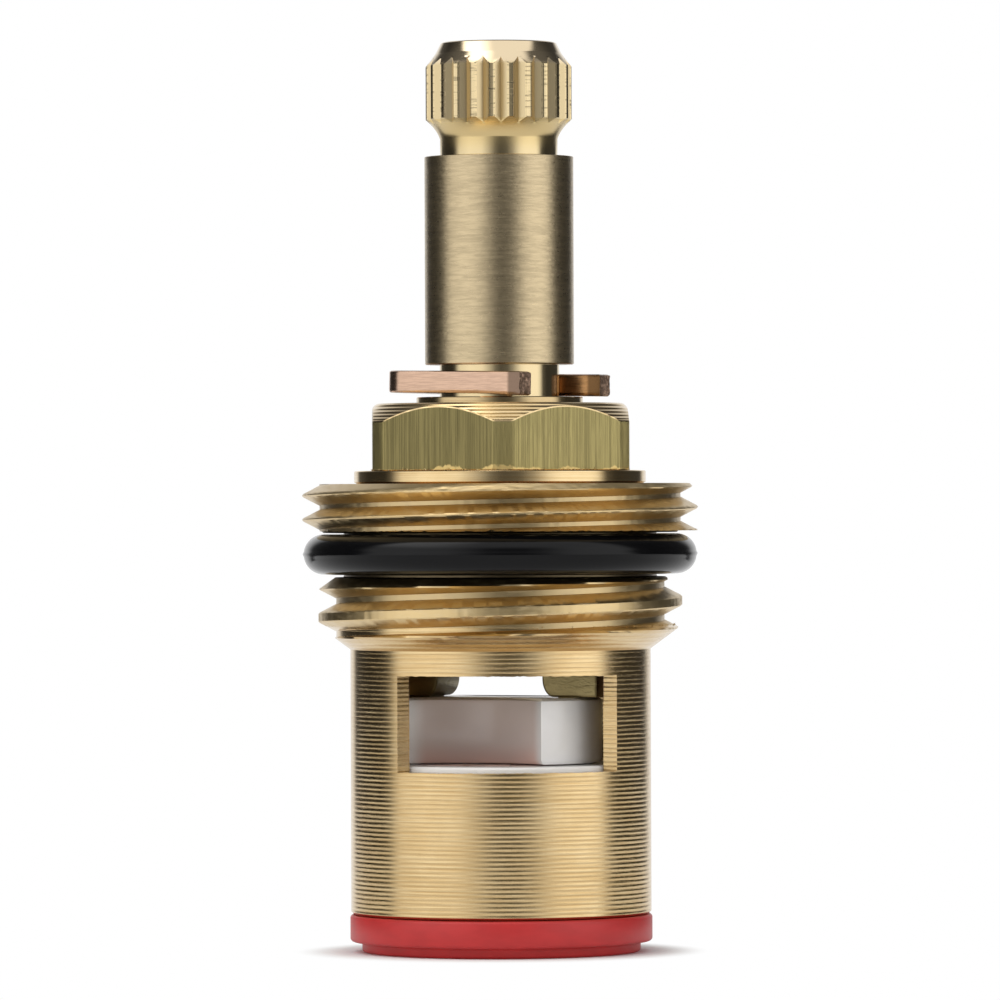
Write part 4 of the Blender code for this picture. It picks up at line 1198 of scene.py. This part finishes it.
def tooth_sector(teeth):
    """One groove and two half lands of the spindle, from its screw hole to its flange."""
    above, splined, below = spindle_rows()
    grooved = range(len(above), len(above) + len(splined))
    rows = list(enumerate(above + splined + below))
    sections = [
        [tooth_point(radius, height, column, row in grooved, pi / teeth) for row, (radius, height) in rows]
        for column in range(-6, 7)
    ]
    return edited(skin("tooth_sector", sections, False), weld)


def flange_mesh():
    """Stop flange with its two wings."""
    outline = []
    half_wing = WING_ANGLE / 2
    for direction in both_ways(OPEN_ANGLE):
        outline += arc(WING_RADIUS, direction - half_wing, direction + half_wing, radians(3))
        outline += arc(HUB_RADIUS, direction + half_wing, direction + pi - half_wing, radians(3))
    return slab("stop_flange", outline, FLANGE_BOTTOM, FLANGE_TOP, EDGE)


def lug_mesh(direction):
    """One lug of the fork, its lower inner corner rounded."""
    top = FLANGE_BOTTOM + 0.5 * MM
    outline = [(LUG_OUTER, LUG_BOTTOM), (LUG_OUTER, top), (LUG_INNER, top)]
    for x, y in arc(1.0, pi, 1.5 * pi, radians(6)):
        outline.append((LUG_INNER + LUG_CORNER_WIDTH * (1 + x), LUG_BOTTOM + LUG_CORNER_HEIGHT * (1 + y)))
    mesh = slab("fork_lug", outline, -LUG_WIDTH / 2, LUG_WIDTH / 2, 2 * EDGE)
    mesh.transform(Matrix.Rotation(direction, 4, "Z") @ Matrix.Rotation(pi / 2, 4, "X"))
    return mesh


class SpindleMaker(bpy.types.Operator):
    """Splined spindle with its stop flange and fork"""

    bl_idname = "cartridge.spindle"
    bl_label = "Spindle"

    def execute(self, context):
        teeth = context.scene.cartridge_sizes.teeth
        brass = spindle_brass(context.scene.cartridge_finishes.spindle_brass)
        turned = add_object("turned_part", tooth_sector(teeth), [brass])
        run_nodes(turned, repeat_round_tree(), {"Count": teeth, "Weld": SECTOR_WELD, "Material": brass})
        meshes = [edited(turned.data.copy(), polish), flange_mesh()]
        bpy.data.objects.remove(turned)
        for direction in both_ways(OPEN_ANGLE):
            meshes.append(lug_mesh(direction))
            outline = block(TONGUE_INNER, TONGUE_OUTER, TONGUE_WIDTH, direction)
            meshes.append(slab("drive_tongue", outline, TONGUE_BOTTOM, LUG_BOTTOM + 0.8 * MM, EDGE))
        item = join("splined_spindle", meshes, [brass], SPINDLE_SHARP_ANGLE)
        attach(item, "turning_set")
        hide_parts("spindle")
        return {"FINISHED"}


def clip_outline():
    """Anticlockwise outline of the clip, its mouth towards +X, with its long sides cut into short steps."""
    seat_angle = asin(CLIP_HALF_MOUTH / CLIP_SEAT)
    step = radians(4)
    corner_x = CLIP_CORNER_RADIUS - CLIP_BACK
    corner_y = CLIP_HALF_WIDTH - CLIP_CORNER_RADIUS
    far_corner = arc(CLIP_CORNER_RADIUS, pi / 2, pi, step, (corner_x, corner_y))
    near_corner = arc(CLIP_CORNER_RADIUS, pi, 1.5 * pi, step, (corner_x, -corner_y))
    seat = arc(CLIP_SEAT, tau - seat_angle, seat_angle, step)
    far_tip = (CLIP_MOUTH_LENGTH, CLIP_HALF_WIDTH)
    near_tip = (CLIP_MOUTH_LENGTH, -CLIP_HALF_WIDTH)
    near_mouth = (CLIP_MOUTH_LENGTH, -CLIP_HALF_MOUTH)
    far_mouth = (CLIP_MOUTH_LENGTH, CLIP_HALF_MOUTH)
    outline = ramped(far_tip, far_corner[0], 12) + far_corner
    outline += ramped(far_corner[-1], near_corner[0], 6)[1:] + near_corner
    outline += ramped(near_corner[-1], near_tip, 12)[1:] + ramped(near_tip, near_mouth, 6)
    outline += ramped(near_mouth, seat[0], 6) + seat
    return outline + ramped(seat[-1], far_mouth, 6)[1:] + ramped(far_mouth, far_tip, 6)


class ClipMaker(bpy.types.Operator):
    """Stamped clip that lies askew on the boss"""

    bl_idname = "cartridge.clip"
    bl_label = "Retaining clip"

    def execute(self, context):
        colour = context.scene.cartridge_finishes.clip_copper
        mesh = slab("clip", clip_outline(), 0.0, CLIP_THICKNESS, CLIP_RIM, 8)
        for vertex in mesh.vertices:
            if vertex.co.x > CLIP_MOUTH_LENGTH - 0.16 * MM and abs(vertex.co.y) > CLIP_HALF_MOUTH:
                vertex.co.x += CLIP_TEAR * (flicker(vertex.co, 3600.0, 6.0) - 0.4)
        item = join("copper_clip", [mesh], [clip_copper(colour), sheared_copper(colour)])
        for face in item.data.polygons:
            if face.center.x > CLIP_MOUTH_LENGTH - 0.2 * MM and face.normal.x > 0.55:
                face.material_index = 1
        for vertex in item.data.vertices:
            near = max(0.0, vertex.co.x - CLIP_DROOP_START) / CLIP_MOUTH_LENGTH
            if vertex.co.y < 0 and vertex.co.z < CLIP_THICKNESS / 2:
                vertex.co.z -= CLIP_DROOP * near * near / 0.45
        lie = Matrix.Translation((0.0, 0.0, CLIP_BOTTOM))
        lean = Matrix.Rotation(context.scene.cartridge_sizes.clip_tilt, 4, "Y")
        item.data.transform(lie @ lean @ Matrix.Rotation(CLIP_MOUTH_DIRECTION, 4, "Z"))
        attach(item, "turning_set")
        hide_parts("retaining_clip")
        return {"FINISHED"}


def disc_outline():
    """Outline of the moving disc: two sealing wings and two hollows."""
    half_scoop = SCOOP_ANGLE / 2
    half_chord = DISC_RADIUS * sin(half_scoop)
    depth = DISC_RADIUS * cos(half_scoop) - DISC_HUB_RADIUS
    scoop_radius = (half_chord ** 2 + depth ** 2) / (2 * depth)
    sweep = asin(half_chord / scoop_radius)
    centre_radius = DISC_HUB_RADIUS + scoop_radius
    outline = []
    for direction in both_ways(OPEN_ANGLE):
        wing_start = direction - pi / 2 + half_scoop
        wing_end = direction + pi / 2 - half_scoop
        outline += arc(DISC_RADIUS, wing_start, wing_end, radians(3))
        scoop = direction + pi / 2
        centre = (centre_radius * cos(scoop), centre_radius * sin(scoop))
        facing = scoop + pi
        hollow = arc(scoop_radius, facing + sweep, facing - sweep, radians(4), centre)
        outline += hollow[1:-1]
    return outline


class DiscMaker(bpy.types.Operator):
    """Ceramic discs: the moving one is made, and the fixed one takes its finish"""

    bl_idname = "cartridge.discs"
    bl_label = "Ceramic discs"

    def execute(self, context):
        white = ceramic(context.scene.cartridge_finishes.ceramic)
        disc = slab("disc", disc_outline(), DISC_BOTTOM, DISC_TOP, DISC_EDGE_ROUND)
        item = join("ceramic_moving_disc", [disc], [white])
        pockets = []
        for direction in both_ways(OPEN_ANGLE):
            outline = block(TONGUE_INNER - POCKET_GAP, TONGUE_OUTER + POCKET_GAP,
                            TONGUE_WIDTH + 2 * POCKET_GAP, direction)
            pockets.append(slab("pocket", outline, TONGUE_BOTTOM - 2 * POCKET_GAP, DISC_TOP + 1 * MM, EDGE))
        cutter = join("pockets", pockets, [white])
        cut = item.modifiers.new("pockets", "BOOLEAN")
        cut.solver = "MANIFOLD"
        cut.object = cutter
        make_plain(item)
        bpy.data.objects.remove(cutter)
        shade(item.data, DISC_SHARP_ANGLE)
        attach(item, "turning_set")
        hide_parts("moving_disc")
        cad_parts["fixed_disc"].material_slots[0].material = white
        return {"FINISHED"}


class RubberMaker(bpy.types.Operator):
    """O-ring of the body, with its mould flash, and the red seat seal with its support ring"""

    bl_idname = "cartridge.rubber"
    bl_label = "Seals"

    def execute(self, context):
        colours = context.scene.cartridge_finishes
        black = rubber("black_rubber", colours.black_rubber, 0.13, 0.17, 0.0004 * MM)
        red = rubber("red_rubber", colours.red_rubber, 0.42, 0.35, 0.0015 * MM)
        section = arc(O_RING_SECTION / 2, 0.0, tau, tau / 48, (O_RING_CENTRE, O_RING_HEIGHT))[1:-1]
        flash = O_RING_CENTRE + O_RING_SECTION / 2 + O_RING_FLASH
        section = [(flash, O_RING_HEIGHT), (flash, O_RING_HEIGHT + 0.02 * MM)] + section
        o_ring = join("body_seal_ring", [lathe("o_ring", section, 240)], [black])
        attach(o_ring, "valve")
        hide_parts("body_o_ring")
        profile = [
            (SEAL_BORE_RADIUS, SEAL_TOP),
            (SEAL_PLUG_RADIUS, SEAL_TOP),
            (SEAL_PLUG_RADIUS, SEAL_FLANGE_TOP),
            (SEAL_FLANGE_RADIUS, SEAL_FLANGE_TOP),
            (SEAL_FLANGE_RADIUS, SEAL_LIP_HEIGHT),
            (SEAL_LIP_RADIUS, SEAL_LIP_HEIGHT),
            (SEAL_LIP_RADIUS, 0.0),
            (SEAL_HOLE_RADIUS, 0.0),
            (SEAL_HOLE_RADIUS, SEAL_LEDGE_HEIGHT),
            (SEAL_BORE_RADIUS, SEAL_LEDGE_HEIGHT),
        ]
        rounded = eased(eased(profile, SEAL_SOFTNESS), SEAL_SOFTNESS / 3)
        seal = join("red_seat_seal", [lathe("seat_seal", rounded, 180)], [red])
        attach(seal, "valve")
        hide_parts("seat_seal")
        ring = [
            (SUPPORT_RING_INNER, SEAL_TOP),
            (SUPPORT_RING_OUTER, SEAL_TOP),
            (SUPPORT_RING_OUTER, SUPPORT_RING_BOTTOM),
            (SUPPORT_RING_INNER, SUPPORT_RING_BOTTOM),
        ]
        stiff = plastic("stiff_plastic", (0.12, 0.12, 0.13))
        support = join("seal_stiffener", [lathe("support_ring", eased(ring, SEAL_SOFTNESS), 120)], [stiff])
        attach(support, "valve")
        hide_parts("seal_support_ring")
        for node in ("spindle_o_ring_upper", "spindle_o_ring_lower"):
            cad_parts[node].material_slots[0].material = black
        washer = plastic("slide_plastic", (0.80, 0.79, 0.74))
        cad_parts["slide_washer"].material_slots[0].material = washer
        return {"FINISHED"}


# Brightness of the studio by direction: degrees from the camera's side, positive to the right
STUDIO_BANDS = (
    (-180, 0.3), (-170, 0.85), (-160, 0.8), (-148, 0.10), (-128, 0.04), (-102, 0.04), (-95.5, 0.13),
    (-84, 1.2), (-60, 1.45), (-34, 1.35), (-20, 0.8), (-8, 0.26), (2, 0.12), (16, 0.17), (27, 0.5),
    (42, 1.35), (52, 1.55), (78, 1.55), (84, 1.25), (92, 0.12), (104, 0.05), (146, 0.06), (158, 0.7),
    (170, 0.85), (180, 0.3),
)
OVERHEAD_LEVEL = 1.35
FLOOR_HALF_WIDTH = 0.095
SHADOW_START = 8.4 * MM
SHADOW_END = 11.5 * MM


def studio_world():
    """White behind the object for the camera, and soft lights in a darker room for everything else."""
    world = bpy.data.worlds.new("studio")
    world.use_nodes = True
    nodes = Nodes(world.node_tree)
    way = nodes.add("ShaderNodeTexCoord", output="Generated")
    right = nodes.add("ShaderNodeSeparateXYZ", {0: way})
    ahead = right.output("Y")
    up = right.output("Z")
    turn = right.maths("ARCTAN2", right, ahead * -1.0)
    stops = [((degrees + 180) / 360, level) for degrees, level in STUDIO_BANDS]
    bands = nodes.add("ShaderNodeValToRGB", {0: turn / tau + 0.5}, stops=stops)
    level = nodes.add("ShaderNodeSeparateColor", {0: bands})
    overhead = up.between(0.5, 0.82)
    in_front = turn.between(-1.75, -1.5, 0.12, 2.3) * turn.between(-1.1, -0.2, 1.0, 0.43)
    in_front = in_front * turn.between(1.4, 1.7, 1.0, 0.12)
    soft = level * (1.0 - overhead) + overhead * in_front * OVERHEAD_LEVEL
    path = nodes.add("ShaderNodeLightPath", output="Is Camera Ray")
    behind = ahead.between(0.84, 0.93) * up.fading(0.2, 0.4)
    seen = path + path.output("Is Transmission Ray") + path.output("Is Glossy Ray") * behind
    back = nodes.add("ShaderNodeBackground", {"Color": WHITE, "Strength": soft * (1.0 - seen) + seen})
    nodes.add("ShaderNodeOutputWorld", {"Surface": back})
    bpy.context.scene.world = world


def floor_material():
    """Pale floor that is plain white for the camera away from the object's shadow."""
    finish = Finish("pale_floor")
    away = finish.reach().between(SHADOW_START, SHADOW_END)
    path = finish.add("ShaderNodeLightPath", output="Is Camera Ray")
    seen = path + path.output("Is Glossy Ray") + path.output("Is Transmission Ray")
    diffuse = finish.add("ShaderNodeBsdfDiffuse", {"Color": tint(WHITE, 0.86)})
    glow = finish.add("ShaderNodeEmission", {"Color": WHITE, "Strength": 1.0})
    shader = finish.add("ShaderNodeMixShader", {0: away * seen, 1: diffuse, 2: glow})
    finish.add("ShaderNodeOutputMaterial", {"Surface": shader})
    return finish.material


class StageMaker(bpy.types.Operator):
    """Floor, studio light and camera"""

    bl_idname = "cartridge.stage"
    bl_label = "Stage"

    def execute(self, context):
        stage = context.scene.cartridge_stage
        half = FLOOR_HALF_WIDTH
        corners = [(-half, -half, 0.0), (half, -half, 0.0), (half, half, 0.0), (-half, half, 0.0)]
        floor = add_object("floor", plain_mesh("floor", corners, [(0, 1, 2, 3)]), [floor_material()])
        studio_world()
        data = bpy.data.cameras.new("camera")
        data.lens = stage.lens
        data.sensor_width = 36.0
        data.clip_start = 0.01
        data.clip_end = 5.0
        camera = bpy.data.objects.new("camera", data)
        camera.location = (0.0, -stage.distance, stage.height)
        camera.rotation_euler = (pi / 2, stage.roll, 0.0)
        context.scene.collection.objects.link(camera)
        context.scene.camera = camera
        context.scene.view_settings.view_transform = "Standard"
        return {"FINISHED"}


OPERATORS = (StageMaker, BodyMaker, BurrMaker, SpindleMaker, ClipMaker, DiscMaker, RubberMaker)


class CartridgePanel(bpy.types.Panel):
    """Buttons for the pieces and fields for their sizes and colours"""

    bl_idname = "VIEW3D_PT_cartridge"
    bl_label = "Tap cartridge"
    bl_space_type = "VIEW_3D"
    bl_region_type = "UI"
    bl_category = "Cartridge"

    def draw(self, context):
        for operator in OPERATORS:
            self.layout.operator(operator.bl_idname)
        for name in GROUPS:
            settings = getattr(context.scene, name)
            for field in settings.bl_rna.properties:
                if field.identifier not in {"name", "rna_type"}:
                    self.layout.prop(settings, field.identifier)


GROUPS = {
    "cartridge_sizes": CartridgeSizes,
    "cartridge_finishes": CartridgeFinishes,
    "cartridge_stage": CartridgeStage,
}


def register():
    for group in GROUPS.values():
        bpy.utils.register_class(group)
    for name, group in GROUPS.items():
        setattr(bpy.types.Scene, name, PointerProperty(type=group))
    for operator in OPERATORS:
        bpy.utils.register_class(operator)
    bpy.utils.register_class(CartridgePanel)


def unregister():
    bpy.utils.unregister_class(CartridgePanel)
    for operator in reversed(OPERATORS):
        bpy.utils.unregister_class(operator)
    for name, group in GROUPS.items():
        delattr(bpy.types.Scene, name)
        bpy.utils.unregister_class(group)


def main():
    """Make every piece."""
    register()
    bpy.ops.cartridge.stage()
    bpy.ops.cartridge.body()
    bpy.ops.cartridge.burrs()
    bpy.ops.cartridge.spindle()
    bpy.ops.cartridge.clip()
    bpy.ops.cartridge.discs()
    bpy.ops.cartridge.rubber()


if __name__ == "__main__":
    main()
